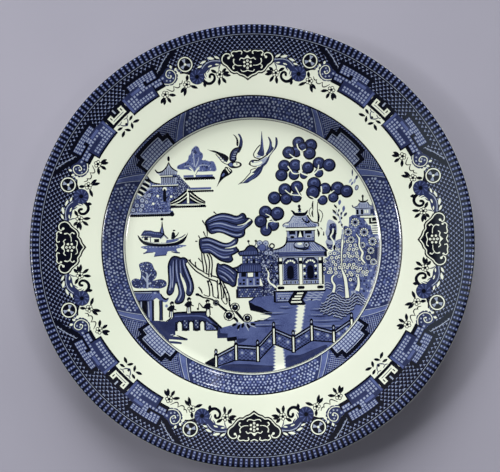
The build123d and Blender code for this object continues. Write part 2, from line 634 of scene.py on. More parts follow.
def volute(art):
    """The spiral that ends the fret, with its fringe of leaves."""
    art.blob("navy", [(27.8, 107.6), (25.2, 105.2), (22.9, 107.0), (22.2, 110.5), (22.9, 114.2),
                      (24.6, 115.4), (26.2, 113.4), (27.8, 112.2)])
    for base, tip, width in (
        ((23.3, 106.6), (21.9, 104.9), 1.3), ((22.8, 108.2), (21.3, 107.2), 1.5),
        ((22.6, 110.2), (21.4, 110.1), 1.4), ((22.7, 112.0), (21.9, 113.4), 1.4),
        ((23.3, 113.9), (23.3, 116.2), 1.4), ((24.6, 105.8), (23.5, 103.5), 1.4),
        ((26.2, 106.2), (25.6, 103.0), 1.4), ((20.6, 108.6), (21.0, 106.4), 1.1),
    ):
        art.leaf("white", base, tip, width)
    for mark in ([(22.9, 104.6), (23.2, 102.7), (24.1, 102.5), (25.1, 104.2)],
                 [(25.0, 104.4), (25.5, 102.1), (26.3, 102.2), (27.5, 104.8)]):
        art.line("line", mark, tapered(mark, 0.3, 0.6))
    art.line("line", [(21.6, 105.4), (22.2, 103.9), (23.0, 103.9)], [0.3, 0.6, 0.6])
    spiral = [
        (27.6, 108.3), (26.4, 106.8), (25.0, 106.2), (23.7, 107.3), (23.0, 109.2), (22.95, 111.3),
        (23.5, 113.2), (24.4, 114.0), (25.2, 113.3), (25.65, 111.8), (25.4, 110.2), (24.8, 109.4),
        (24.25, 110.2),
    ]
    art.line("white", spiral, 0.5, ends=True)
    art.disc("white", (24.4, 110.3), 0.5, 8)
    for spot in ((24.3, 112.4), (24.0, 108.5), (25.2, 107.9), (26.2, 108.9), (25.0, 111.2)):
        art.disc("wash", spot, 0.55, 7)


def cells(art, left, right, low, high, columns, rows):
    """A field of pale cells on a dark net."""
    art.block("navy", left, right, low, high)
    across = (right - left) / columns
    up = (high - low) / rows
    for column in range(columns):
        for row in range(rows):
            middle = (left + (column + 0.5) * across, low + (row + 0.5) * up)
            cell(art, "cobalt", middle, 0.8, 0.42 * up)
            cell(art, "wash", middle, 0.52, 0.29 * up)


def fret(art):
    """Two interlocked key shapes: a dark one above with pale cells, and a blue one below."""
    for left, right, low, high in ((27.6, 38.4, 111.9, 120.0), (27.3, 30.9, 106.2, 111.9)):
        art.block("line", left, right, low, high)
    art.block("navy", 34.3, 38.6, 111.9, 114.9)
    cells(art, 28.5, 37.4, 115.1, 118.3, 9, 3)
    cells(art, 28.5, 31.8, 113.3, 115.1, 3, 1)
    cells(art, 32.8, 34.4, 111.9, 115.1, 2, 2)
    art.block("line", 30.5, 41.1, 102.9, 110.4)
    art.block("navy", 30.9, 40.9, 103.9, 110.4)
    art.block("navy", 34.4, 40.9, 110.4, 114.5)
    art.block("cobalt", 34.6, 37.8, 112.3, 113.9)
    art.block("cobalt", 40.1, 40.8, 104.4, 113.9)
    cells(art, 26.4, 36.7, 110.4, 112.1, 9, 1)
    cells(art, 27.8, 30.5, 108.2, 110.3, 3, 1)
    cells(art, 36.7, 40.0, 108.1, 112.2, 3, 2)
    cells(art, 31.6, 40.0, 104.7, 108.1, 8, 2)


def key_block(art):
    """The dark block with a white key, centred on the sector's other edge, and the flower under it."""
    middle = SECTOR
    art.block("line", 41.0, 49.0, 106.2, 114.9)
    for side in (1, -1):
        art.block("white", middle + side * 1.4, middle + side * 2.9, 107.8, 112.6)
        art.block("line", middle + side * 1.95, middle + side * 2.3, 109.3, 111.7)
    art.block("white", middle - 2.9, middle + 2.9, 107.8, 110.0)
    art.block("navy", middle - 2.2, middle + 2.2, 108.75, 109.1)
    art.block("wash", middle - 0.25, middle + 0.25, 111.4, 114.0)
    for side in (1, -1):
        for tip, base, width in (
            ((3.5, 103.9), (1.5, 102.8), 1.6), ((4.3, 99.2), (1.9, 100.7), 1.8),
            ((0.4, 98.0), (1.7, 101.3), 1.7),
        ):
            art.leaf("line", (middle + side * base[0], base[1]), (middle + side * tip[0], tip[1]), width)
        vee = [(1.5, 104.6), (1.1, 103.2), (0, 101.6)]
        art.line("navy", [(middle + side * a, r) for a, r in vee], [0.4, 0.7, 0.6])
        bow = [(0.5, 105.6), (1.5, 105.0), (2.3, 105.7)]
        art.line("navy", [(middle + side * a, r) for a, r in bow], [0.4, 0.5, 0.4])
    art.disc("line", (middle, 102.6), 0.6, 8, squash=1.5)


def rim_artwork():
    """The rim's border, from a cartouche to the next key block."""
    art = Artwork(polar, SCALE_PITCH)
    tick_band(art)
    scale_ground(art)
    slanted_bar(art)
    acanthus(art)
    flower(art, (9.35, 102.2),
           [(6.9, 105.2), (6.1, 102.8), (5.7, 100.7), (7.6, 96.5), (10.3, 95.9), (11.9, 106.0)])
    flower(art, (20.8, 102.1), [(19.5, 107.2), (17.7, 97.7), (23.2, 96.3), (23.9, 98.9)])
    rosette(art, (16.8, 104.2))
    volute(art)
    medallion(art, (19.05, 113.3))
    fret(art)
    flower(art, (28.7, 102.3), [(25.6, 98.9), (28.4, 96.4), (30.9, 97.2), (31.6, 99.0)])
    key_block(art)
    cartouche(art)
    return art


def in_sector(point):
    """Whether an (x, y) lies in the part of a border that is kept and repeated."""
    return 0 <= math.degrees(math.atan2(point[0], point[1])) <= SECTOR


BORDER_SLIP = math.radians(0.2)  # how far the borders were laid clockwise of the scene


def border_copies():
    """The turns and mirror images that complete a border from its sector, as 2-D matrices."""
    turns = []
    for quarter in range(4):
        angle = math.pi / 2 * quarter - BORDER_SLIP
        turn = np.array([[math.cos(angle), -math.sin(angle)], [math.sin(angle), math.cos(angle)]])
        turns += [turn, turn @ np.array([[-1.0, 0.0], [0.0, 1.0]])]
    return turns


def ring_guides(inner, outer):
    """Circles that a border's surface bends along, and the two edges of its sector."""
    angles = np.arange(-OVERLAP, SECTOR + OVERLAP + 0.1, SCALE_PITCH)
    rings = [radius for radius in FACE_RADII if inner <= radius <= outer]
    guides = [[polar((angle, radius)) for angle in angles] for radius in rings]
    for edge in (0, SECTOR):
        guides.append([polar((edge, inner)), polar((edge, outer))])
    return guides


# --- Inner border: the band on the cavetto, again one eighth of the circle ---

BAND_INNER = 75.3
BAND_OUTER = 88.5


PEBBLE_ROW = 1.6
PEBBLE_PITCH = 1.45  # degrees


def pebbles(art):
    """Irregular pale cells scattered over the blue, as on crackled ice."""
    chance = random.Random(7)
    for row in range(7):
        radius = 77.8 + row * PEBBLE_ROW
        for column in range(-2, 20):
            angle = (column + row % 2 / 2) * PEBBLE_PITCH
            if angle > 24.4 + (87.5 - radius) * 0.5:
                continue
            middle = beside((angle, radius), chance.uniform(-0.35, 0.35), chance.uniform(-0.3, 0.3))
            lean = chance.uniform(0, math.pi / 2)
            size = chance.uniform(0.65, 1.0)
            corners = []
            for corner in range(5):
                turn = lean + corner * math.pi * 0.4 + chance.uniform(-0.25, 0.25)
                corners.append(beside(middle, size * math.cos(turn), size * math.sin(turn)))
            art.area("cobalt", corners)
            if chance.random() < 0.8:
                art.disc("wash", middle, size * chance.uniform(0.45, 0.75), 7)


def slanted_bands(art):
    """The slanting blue band between two pale lines that closes the field of pebbles."""
    art.area("navy", [(24.5, 88.2), (27.6, 88.2), (35.4, 76.9), (30.8, 76.9)])
    art.area("cobalt", [(25.3, 88.2), (26.6, 88.2), (34.6, 76.9), (31.6, 76.9)])
    art.rule("wash", (25.0, 88.0), (31.2, 77.0), 0.35)
    art.rule("wash", (26.9, 88.0), (34.7, 77.0), 0.35)


TRELLIS_TOP = 87.9
TRELLIS_PITCH = 1.15  # degrees


def in_trellis(angle, radius):
    """Whether a place lies between the slanted bands and the stepped frame, or above its step."""
    beside_frame = 27.6 + (TRELLIS_TOP - radius) * 0.68 < angle < 36.4
    above_step = radius > 86.4 and 36.3 < angle < 49
    return beside_frame or above_step


def trellis(art):
    """Crossed slanting lines between the slanted bands and the stepped frame."""
    for step in range(-9, 16):
        start = 27.0 + step * TRELLIS_PITCH
        for ink, lean, width in (("cobalt", 7.2, 0.4), ("wash", -7.2, 0.2)):
            line = []
            for share in range(9):
                radius = TRELLIS_TOP - share * 1.35
                angle = start + lean * share / 8
                if in_trellis(angle, radius):
                    line.append((angle, radius))
            if len(line) > 1:
                art.line(ink, line, width, smooth=False)


def stepped_frame(art):
    """The dark stepped outline round a field of small square cells."""
    end = SECTOR + OVERLAP
    art.area("line", [(35.6, 76.5), (35.6, 83.5), (38.2, 83.5), (38.2, 86.8), (end, 86.8), (end, 76.5)])
    field = [(37.2, 76.5), (37.2, 81.1), (40.0, 81.1), (40.0, 84.5), (end, 84.5)]
    art.area("navy", field + [(end, 76.5)])
    for row in range(4):
        for column in range(8):
            place = (SECTOR + (column - 5.5) * 1.36, 77.75 + row * 1.72)
            if row < 2 or place[0] > 40.2:
                cell(art, "cobalt", place, 0.84, 0.76)
                cell(art, "wash", place, 0.64, 0.58)
    art.line("wash", field, 0.35, smooth=False)


def inner_artwork():
    """The inner border, from the middle of the pebbles to the middle of the stepped frame."""
    art = Artwork(polar, SCALE_PITCH)
    start, end = -OVERLAP, SECTOR + OVERLAP
    art.block("navy", start, end, 76.5, BAND_OUTER)
    pebbles(art)
    trellis(art)
    slanted_bands(art)
    stepped_frame(art)
    art.block("line", start, end, 87.7, BAND_OUTER)
    art.block("line", start, end, 75.7, 76.7)
    art.block("wash", start, end, 75.85, 76.4)
    art.block("white", start, end, 75.95, 76.3)
    art.block("line", start, end, BAND_INNER, 75.55)
    return art


# --- The scene in the well: a garden by the water, drawn afresh from the pattern's old motifs ---

SCENE_EDGE = BAND_INNER - 0.05  # the scene fills the well up to the inner border
WELL_FLAT = 60  # the well is flat at least this far out


def inside(place, outline):
    """Whether a place lies within an outline."""
    x, y = place
    within = False
    for (ax, ay), (bx, by) in zip(outline, outline[1:] + outline[:1]):
        if (ay > y) != (by > y) and x < ax + (y - ay) / (by - ay) * (bx - ax):
            within = not within
    return within


def scatter(outline, pitch, chance):
    """Places on a loose staggered grid within an outline."""
    left = min(x for x, _ in outline)
    right = max(x for x, _ in outline)
    low = min(y for _, y in outline)
    high = max(y for _, y in outline)
    places = []
    for row in range(int((high - low) / (0.87 * pitch)) + 1):
        for column in range(int((right - left) / pitch) + 2):
            x = left + (column + row % 2 / 2 + chance.uniform(-0.27, 0.27)) * pitch
            y = low + (row + 0.5 + chance.uniform(-0.27, 0.27)) * 0.87 * pitch
            if inside((x, y), outline):
                places.append((x, y))
    return places


def foliage(art, outline, ground="cobalt", spots=("wash", "navy", "navy"), pitch=1.5, seed=1, smooth=True):
    """A leafy mass: a ground filled with light and dark touches."""
    if smooth:
        art.blob(ground, outline)
    else:
        art.area(ground, outline)
    chance = random.Random(seed)
    for place in scatter(outline, pitch, chance):
        size = pitch * chance.uniform(0.26, 0.44)
        squash = chance.uniform(0.55, 1.0)
        art.disc(chance.choice(spots), place, size, 7, squash=squash, lean=chance.uniform(0, 180))


def hatch(art, ink, outline, lean, pitch, width):
    """Straight lines at a lean, in degrees, that fill an outline from edge to edge."""
    turn = Matrix.Rotation(math.radians(-lean), 2)
    corners = [turn @ Vector(point) for point in outline]
    low = min(corner.y for corner in corners)
    high = max(corner.y for corner in corners)
    for row in range(int((high - low) / pitch)):
        level = low + (row + 0.5) * pitch
        marks = []
        for a, b in zip(corners, corners[1:] + corners[:1]):
            if (a.y > level) != (b.y > level):
                marks.append(a.x + (level - a.y) / (b.y - a.y) * (b.x - a.x))
        marks.sort()
        for left, right in zip(marks[::2], marks[1::2]):
            ends = [turn.transposed() @ Vector((x, level)) for x in (left, right)]
            art.line(ink, ends, width, smooth=False)


def ring_flower(art, centre, radius, petals, ring, heart):
    """A round bloom seen from the front: a dark rim, a pale ring or petals, and a dark heart."""
    art.disc("navy", centre, radius, 18)
    if petals:
        for petal in range(petals):
            angle = 2 * math.pi * petal / petals
            place = (centre[0] + 0.76 * radius * math.cos(angle), centre[1] + 0.76 * radius * math.sin(angle))
            art.disc(ring, place, radius * 0.16, 7)
        art.disc("wash", centre, radius * 0.56, 12)
        art.disc("navy", centre, radius * 0.42, 10)
    else:
        art.disc(ring, centre, radius * 0.84, 12)
        art.disc("cobalt", centre, radius * 0.46, 8)
    art.disc(heart, centre, radius * 0.26, 7)


# The near bank.

REFLECTION_TEETH = 9


def reflection(art, left, right, top, foot, reach):
    """A pale upright reflection on the water with notched sides; reach is how deep its notches go."""
    for ink, spread in (("wash", 0.6), ("white", 0.0)):
        near = []
        far = []
        for tooth in range(2 * REFLECTION_TEETH + 1):
            share = tooth / (2 * REFLECTION_TEETH)
            y = top + (foot - top) * share
            notch = reach if tooth % 2 else 0.0
            near.append((left[0] + (left[1] - left[0]) * share + notch - spread, y))
            far.append((right[0] + (right[1] - right[0]) * share - notch * 0.5 + spread, y))
        art.area(ink, near + far[::-1])


def near_bank(art):
    """The bank and the dark water in front of it, with the pale reflections between."""
    art.area("cobalt", [
        (-21.6, -50), (-19, -48.4), (-15, -47.5), (-10, -46.3), (0.4, -45.2), (5, -44.8), (9, -43),
        (10.6, -42.4), (8, -41.2), (3, -39.8), (-1.8, -38.6), (-2.8, -33.6), (-0.6, -32.6), (1.6, -30.4),
        (12, -30), (76, -30), (76, -76), (-29, -76), (-29, -68.6), (-11, -59), (-11.4, -56.4), (-16, -56.2),
        (-16, -54.6), (-21.6, -54.4),
    ])
    art.area("navy", [(-21.8, -50), (-20, -49), (-19.6, -51.6), (-15.4, -52), (-15.6, -54.6), (-21.6, -54.6)])
    art.area("line", [(-16.2, -54.4), (-10.2, -53.8), (-10, -56.2), (-15.6, -56.6)])
    art.area("navy", [(-9.4, -55), (-3.6, -55.2), (-6, -57), (-9.4, -58)])
    art.blob("navy", [(-19, -70.8), (-8, -70), (4, -71), (14, -72), (14, -76), (-19, -76)])
    art.blob("navy", [(19, -66), (27, -65.4), (36, -62), (43, -60), (40, -66), (26, -73), (19, -73)])
    art.area("line", [(-2.8, -33.6), (-1, -34.2), (1, -35.6), (4.6, -36.8), (8, -39), (11.2, -40),
                      (10.8, -42), (8, -41.2), (3, -39.8), (-1.8, -38.6)])
    art.line("navy", [(-2.6, -33.4), (-0.6, -32.6), (1.4, -30.6)], 0.9, smooth=False)
    art.line("line", [(0.6, -45.4), (3.6, -44.9), (6.6, -44.7), (9.4, -43.2)], [0.9, 0.7, 0.5, 0.4])
    for row, (left, right) in enumerate(((14, 24), (33, 43), (4, 21), (32, 47), (2, 15), (31, 53), (-6, 18),
                                         (33, 58))):
        y = -37.6 - row * 1.7
        art.line("navy", [(left, y), ((left + right) / 2, y - 0.5), (right, y)], [0.1, 0.9, 0.1])
        art.line("wash", [(left + 2, y + 0.9), ((left + right) / 2, y + 0.6), (right - 3, y + 0.9)],
                 [0.1, 0.25, 0.1])
    reflection(art, (25.8, 23.6), (30.8, 27.6), -36.0, -54.6, 1.3)
    reflection(art, (11.8, 11.2), (17.0, 18.4), -59.6, -76.0, 1.2)


FENCE_POSTS = [
    (-22.6, -71.4, -64.8), (-10.7, -67.6, -58.8), (2.1, -68.6, -60.0), (11.8, -58.8, -49.6),
    (23.2, -63.6, -54.8), (34.1, -57.2, -48.4), (47.0, -58.4, -52.2), (57.7, -52.6, -45.2),
]  # x, foot, head


def fence_panel(art, start, end):
    """Latticework between two fence posts, under a double rail."""
    corners = [(start[0], start[1]), (end[0], end[1]), (end[0], end[2]), (start[0], start[2])]
    art.area("navy", corners)
    for lean in (38, -38):
        hatch(art, "cobalt", corners, lean, 1.5, 0.42)
    for share in (0.28, 0.72):
        place = [a + (b - a) * share for a, b in zip(start, end)]
        art.disc("cobalt", (place[0], (place[1] + place[2]) / 2), 1.5, 8)
        art.disc("wash", (place[0], (place[1] + place[2]) / 2), 0.8, 8)
    for drop, ink, width in ((0.0, "line", 0.9), (1.0, "wash", 0.5), (1.7, "line", 0.8)):
        art.line(ink, [(start[0], start[2] - drop), (end[0], end[2] - drop)], width, smooth=False)
    art.line("line", [(start[0], start[1]), (end[0], end[1])], 0.8, smooth=False)


def fence(art):
    """The fence that zigzags across the foreground."""
    art.area("line", [(-29, -68.7), (-23, -65.2), (-22.6, -72), (-29, -70)])
    for start, end in zip(FENCE_POSTS, FENCE_POSTS[1:]):
        fence_panel(art, start, end)
    for x, foot, head in FENCE_POSTS:
        art.block("line", x - 1.2, x + 1.3, foot - 0.6, head + 0.4)
        art.block("white", x - 0.4, x + 0.45, foot, head)
        art.disc("line", (x, head + 2.5), 1.7, 12, squash=0.62, lean=90)
        art.disc("line", (x, head + 0.7), 1.2, 10, squash=0.7)
        art.disc("wash", (x, head + 2.2), 0.75, 10, squash=0.6, lean=90)


ROCK_LAYERS = [
    (43.8, 66.0), (41.8, 67.0), (40.2, 67.6), (39.4, 68.0), (38.6, 64.4), (39.4, 59.6), (41.0, 57.8),
    (43.8, 55.4), (47.0, 52.8),
]  # left and right ends, from the top


def rocks(art):
    """Rocks at the water's edge, in layers of pale ripples."""
    art.area("cobalt", [(42.4, -17), (58, -17), (62, -34), (42.4, -34)])
    for x, top in ((44.4, -23.4), (58.4, -24.2), (51.6, -25.0)):
        for row in range(3):
            y = top - 1.5 * row
            bow = [(x - 2.2, y - 0.7), (x - 0.9, y + 0.2), (x + 0.4, y - 0.1), (x + 1.8, y - 0.8)]
            art.line("navy", [(a + 0.2, b - 0.6) for a, b in bow], 0.55)
            art.line("wash", bow, [0.2, 0.5, 0.5, 0.2])
    for layer, (start, end) in enumerate(ROCK_LAYERS):
        ridge = []
        for step in range(int((end - start) / 0.9) + 1):
            x = start + step * 0.9
            humps = 3.6 * math.exp(-(((x - 47.6) / 3.8) ** 2)) + 4.0 * math.exp(-(((x - 61.4) / 3.4) ** 2))
            ripple = 0.32 * math.sin(2.6 * x + 1.9 * layer)
            ridge.append((x, -32.6 - 1.5 * layer + humps * (1 - 0.07 * layer) + ripple))
        art.line("navy", [(x, y - 0.55) for x, y in ridge], 1.1)
        art.line("line", [(x + 0.3, y - 0.6) for x, y in ridge], 0.4)
        art.line("wash", ridge, 0.3 + 0.14 * (layer % 3))


# Trees and flowers.


def flowering_trees(art):
    """The thicket right of the pagoda: big blooms at the edge, small ones below, and pale trunks."""
    edge = [
        (57.6, 9), (58, 15), (60, 16.4), (64, 16.2), (68, 14), (69.6, 10), (76, 10), (76, -30), (56, -30),
        (56, -10), (58, 0),
    ]
    foliage(art, edge, "cobalt", ("wash", "navy", "navy"), 2.3, 12, False)
    art.area("navy", [(68, -4), (76, -3), (76, -14), (68, -13), (66.6, -9)])
    thicket = [
        (49.6, 1), (54, 2.4), (58, 0.4), (62, -2), (64, -8), (66, -13), (68.6, -16), (68, -21), (62, -21),
        (57, -23), (54, -20), (50, -20.6), (46, -19), (42, -18.6), (41.8, -13), (42.4, -9.6), (45, -8),
        (46.6, -5.6), (49, -3.4),
    ]
    foliage(art, thicket, "cobalt", ("wash", "wash", "navy", "line"), 1.3, 3)
    beside_pagoda = [(54.6, 9.6), (58, 9), (60, 5), (62.6, 2), (61, -1.6), (57, -1), (55, 2)]
    foliage(art, beside_pagoda, "cobalt", ("navy", "wash"), 1.5, 4)
    chance = random.Random(6)
    for place in scatter(thicket, 2.6, chance):
        ring_flower(art, place, 1.15, 0, chance.choice(("white", "white", "wash")), "navy")
    for centre, radius in (
        ((57.2, 6.4), 2.5), ((58.8, 1.7), 2.2), ((66.6, 6.0), 2.8), ((71.4, 0.3), 2.7), ((61.5, 12.0), 2.7),
        ((70.2, -5.0), 2.2), ((71.6, -11.8), 2.2), ((68.6, -9.2), 1.6), ((65.4, -1.6), 1.9),
    ):
        ring_flower(art, centre, radius, 11, "white", "line")
    for ink, spread in (("navy", 0.9), ("white", 0.0)):
        for trunk, widths in TREE_TRUNKS:
            art.line(ink, trunk, [width + spread for width in widths])


TREE_TRUNKS = [
    ([(52.6, -15.2), (53.6, -17.8), (54.6, -20.8), (55.2, -26), (55.6, -32.6)], [0.5, 1.1, 1.7, 1.7, 2.2]),
    ([(53.2, -15.8), (52.8, -11), (53.0, -5), (53.6, 0), (53.8, 5)], [0.5, 0.5, 0.7, 1.2, 0.4]),
    ([(48.4, -18.8), (47.0, -20.2), (46.9, -22.4), (48.2, -25), (48.0, -27), (47.4, -29)],
     [0.6, 0.9, 1.0, 1.2, 1.3, 1.5]),
    ([(64, 3), (63.4, -1), (64.2, -3.8), (65.4, -6.2), (64.6, -9.4), (66.6, -12.4)],
     [0.5, 0.8, 1.0, 1.2, 1.2, 0.8]),
    ([(62.3, -20.6), (62.5, -24), (62.2, -26.2), (61.4, -28.6)], [1.0, 1.3, 1.7, 2.6]),
    ([(61.8, 5), (63.4, 2.4), (63.6, -1)], [0.4, 0.7, 0.8]),
]  # points and width at each


def leafy_sprays(art):
    """Slender stems with single leaves, above the thicket."""
    for stem, widths in (
        ([(54, 9), (52.8, 13), (51.8, 16.6), (50.2, 20)], [0.9, 0.7, 0.5, 0.3]),
        ([(52.6, 13.6), (53.6, 17), (54.8, 19.6)], [0.7, 0.6, 0.4]),
        ([(52, 15.8), (49.6, 17.6), (48.2, 18.6)], [0.7, 0.6, 0.4]),
        ([(53.8, 8), (53.6, 2)], [0.7, 0.6]),
    ):
        art.line("wash", stem, widths)
    for ink, base, tip, width in (
        ("cobalt", (52.2, 22.4), (53.0, 25.8), 1.8), ("cobalt", (54.6, 18.2), (55.2, 22.2), 1.7),
        ("line", (51.0, 20.6), (49.2, 23.0), 1.2), ("line", (50.6, 17.4), (48.2, 20.0), 1.3),
        ("line", (51.0, 13.4), (48.2, 16.2), 1.8), ("navy", (54.8, 15.6), (56.8, 18.0), 1.5),
        ("navy", (51.8, 18.2), (52.2, 20.4), 1.0), ("navy", (53.0, 16.4), (53.8, 18.4), 1.2),
        ("line", (53.4, 13.8), (53.8, 15.6), 1.0), ("line", (52.0, 15.8), (51.2, 17.6), 0.9),
        ("line", (53.2, 9.8), (53.9, 11.4), 1.1), ("navy", (51.4, 11.6), (52.6, 13.0), 0.9),
        ("navy", (54.4, 8.0), (55.4, 9.8), 0.9), ("navy", (60.6, 39.4), (60.7, 43.8), 0.9),
        ("wash", (58.4, 35.4), (60.4, 38.2), 1.3), ("wash", (61.4, 35.0), (62.4, 38.2), 1.3),
        ("cobalt", (59.6, 34.0), (61.0, 36.4), 1.1), ("navy", (62.6, 37.4), (63.6, 40.0), 1.4),
    ):
        art.leaf(ink, base, tip, width)
    art.disc("navy", (63, 32.6), 1.7, 14, squash=0.68, lean=70)
    art.disc("wash", (63, 32.6), 1.2, 12, squash=0.62, lean=70)


def bush_by_roof(art):
    """The bush between the pagoda's roof and the thicket, with its forked stem."""
    art.blob("wash", [(44.6, 3), (43.8, 6), (44.4, 9), (44.8, 12), (46, 14), (48.4, 13.2), (50.4, 11),
                      (50.6, 7), (49.8, 3.4), (49.6, 0.4), (47, -2.6), (44.8, -1.6), (43.6, 0.6)])
    foliage(art, [(46, 9.4), (47.4, 11.6), (50, 11), (50, 5), (48.8, 1.6), (45.4, 2), (44.8, 4), (46.4, 6)],
            "navy", ("cobalt", "line"), 1.4, 9)
    foliage(art, [(44.2, 0), (46, -1), (48, -1), (47.6, -4), (44.8, -3)], "navy", ("cobalt", "wash"), 1.4, 10)
    art.line("white", [(48.4, 8.6), (48, 6), (46.8, 4), (47.8, 2), (48.6, 0.4), (48.2, -2), (47.8, -4.4)],
             0.9)
    art.line("line", [(49.7, 7.6), (49.0, 5), (48.7, 2.2)], [0.7, 1.1, 0.9])
    art.line("line", [(47.2, 7.6), (46.2, 5.4)], [1.0, 0.8])
    art.disc("line", (48.8, -2.6), 1.6, 10, squash=0.45, lean=80)
    for place in ((46.2, 0.6), (47.2, 12.6), (45.8, 12.4)):
        art.disc("wash", place, 0.8, 9)


def garden_shrubs(art):
    """Shrubs between the small house and the pagoda, with a pale stem."""
    foliage(art, [(2, -6), (3, -1), (5, 1.6), (7, 2), (9, 1.6), (10, -1.4), (14, -3.6), (16, -4.4), (16, -30),
                  (1.4, -30.6), (6, -24), (3.6, -16), (3, -10)], "navy", ("wash", "wash", "cobalt", "line"),
            1.15, 21, False)
    for ink, x, y, radius in (("wash", 4.6, 1.0, 1.5), ("wash", 8.2, 0.8, 1.5), ("cobalt", 6.2, -1.6, 1.9),
                              ("wash", 3.4, -3.4, 1.2), ("wash", 8.4, -4.8, 1.1), ("wash", 11.0, -5.0, 1.2)):
        art.disc("navy", (x, y), radius + 0.4, 12)
        art.disc(ink, (x, y), radius, 12)
        art.disc("cobalt", (x, y), radius * 0.4, 8)
    art.disc("line", (11.9, -0.8), 1.75, 16)
    art.disc("white", (11.9, -0.8), 0.95, 12)
    art.line("white", [(8.0, -13.8), (9.6, -17), (9.2, -20), (10.2, -22.6), (13, -24.8), (14.8, -27.2)],
             [0.5, 0.8, 0.9, 0.9, 1.1, 1.2])
    for place in ((9.2, -14.6), (11.2, -20.8), (14.6, -17.2), (13.4, -26.4), (11.4, -12.4)):
        art.disc("line", place, 0.75, 8)
    for place in ((14.2, -13.6), (14.6, -18.6), (6.6, -10.2), (7.2, -12.4), (9.4, -10.4), (12.6, -21.2),
                  (4.8, -26.4)):
        art.disc("wash", place, 0.75, 8)


FRUIT = [
    (29.2, 60.6, 3.8), (36.4, 58.8, 4.0), (35.6, 54.0, 3.9), (31.5, 57.8, 3.0), (27.4, 55.3, 3.6),
    (23.2, 54.8, 3.9), (20.4, 46.8, 3.9), (26.9, 47.0, 3.9), (34.4, 45.4, 3.7), (41.0, 48.0, 3.8),
    (47.0, 46.6, 4.0), (18.6, 41.4, 3.8), (26.0, 41.4, 3.3), (31.8, 41.0, 2.4), (40.8, 42.0, 2.8),
    (20.4, 32.6, 4.0), (27.6, 34.0, 3.9), (37.8, 35.6, 4.2), (37.0, 30.6, 4.2), (44.3, 32.6, 3.6),
    (51.7, 32.5, 4.2), (57.0, 30.6, 3.9), (14.0, 27.8, 4.0), (21.0, 27.0, 3.6), (27.0, 28.0, 3.4),
    (42.6, 25.8, 3.1), (49.0, 27.2, 3.2), (8.5, 19.5, 4.0), (15.6, 18.4, 4.2), (5.6, 14.0, 3.9),
    (13.0, 11.6, 3.6), (8.6, 8.6, 3.6),
]  # x, y, radius


def fruit(art, x, y, radius):
    """One round fruit: near-black at its rim and below, blue on its lit upper side."""
    art.disc("line", (x, y), radius, 22)
    art.disc("navy", (x - 0.04 * radius, y + 0.06 * radius), radius * 0.8, 20)
    art.disc("cobalt", (x - 0.06 * radius, y + 0.26 * radius), radius * 0.44, 16, squash=0.7, lean=20)
    art.disc("navy", (x + 0.02 * radius, y + 0.16 * radius), radius * 0.26, 12, squash=0.6, lean=20)


def fruit_tree(art):
    """The tall tree behind the pagoda, all round fruit on pale boughs."""
    for edge, width in (
        ([(36.9, 25.4), (36.5, 22.8), (36.8, 20)], [0.5, 1.0, 0.4]),
        ([(36.6, 20), (36.2, 18), (36.7, 15.6)], [0.4, 1.1, 0.4]),
        ([(39.6, 24.6), (39.4, 20), (40.0, 16), (39.6, 12.6)], [0.4, 0.5, 1.3, 0.9]),
        ([(36.0, 21.6), (35.0, 20.8), (34.4, 18.6), (35.4, 16)], 0.4),
        ([(40.2, 20.2), (41.8, 18.8), (42.4, 16.6), (41.6, 14), (41, 12.6)], 0.45),
        ([(39.0, 8.6), (39.8, 6), (39.6, 4)], [0.5, 1.4, 0.4]),
        ([(41, 9.4), (42, 8)], [0.6, 0.3]),
        ([(42.8, 7), (42.6, 4.6)], [0.4, 0.9]),
    ):
        art.line("line", edge, width)
    for x, y, radius in FRUIT:
        fruit(art, x, y, radius)
    for bough, width in (
        ([(30.4, 56), (30.6, 52), (30.2, 48), (30.2, 44), (30.6, 42.4), (33, 41.2), (36.4, 40.4)], 0.9),
        ([(28.2, 60), (28.8, 57.5), (30.4, 55.4)], 0.7),
        ([(33.5, 56.6), (31, 55.2)], 0.6),
        ([(23.6, 54), (25.6, 52.4), (28, 51.2), (30.4, 50)], 0.6),
        ([(30.3, 43), (28, 42), (25.4, 42.4), (24, 44.4), (22.4, 46.8)], 0.7),
        ([(36.4, 40.4), (39, 42.4), (40.4, 44.6), (40.8, 47)], 0.6),
        ([(36.8, 40.6), (40, 43.6), (43.6, 44.2)], 0.5),
        ([(36.2, 40.6), (33.6, 38.6), (32.3, 35), (32.3, 28)], [0.7, 0.8, 0.9, 0.6]),
        ([(42, 34), (42, 30.4), (40.4, 27.4), (38.4, 26)], 0.8),
        ([(49.6, 31.4), (46.6, 29.4), (43, 29), (41.4, 28.6)], 0.6),
        ([(26.6, 34.2), (28, 31.4), (29.4, 29), (32, 27.4), (34.4, 26.4), (37.2, 25.6)], 0.7),
        ([(20.4, 32.4), (23, 30.2), (25, 29.4), (29, 29)], 0.6),
        ([(35.0, 28.4), (37.0, 27.4), (38.3, 26)], [0.5, 0.7, 1.0]),
        ([(38.3, 27), (38.2, 22), (38.4, 17), (38.2, 12.6)], [1.1, 1.3, 1.7, 1.8]),
        ([(20, 14.2), (17.6, 13.8), (14, 13.6), (12.6, 14.8), (11.6, 16.6), (9.8, 17.8), (8.6, 18.4)],
         [0.8, 0.8, 0.7, 0.6, 0.6, 0.5, 0.5]),
        ([(12.6, 14), (10, 13.6), (9.3, 12), (9.2, 9.6)], [0.5, 0.8, 0.7, 0.5]),
    ):
        art.line("white", bough, width)


# The doves.


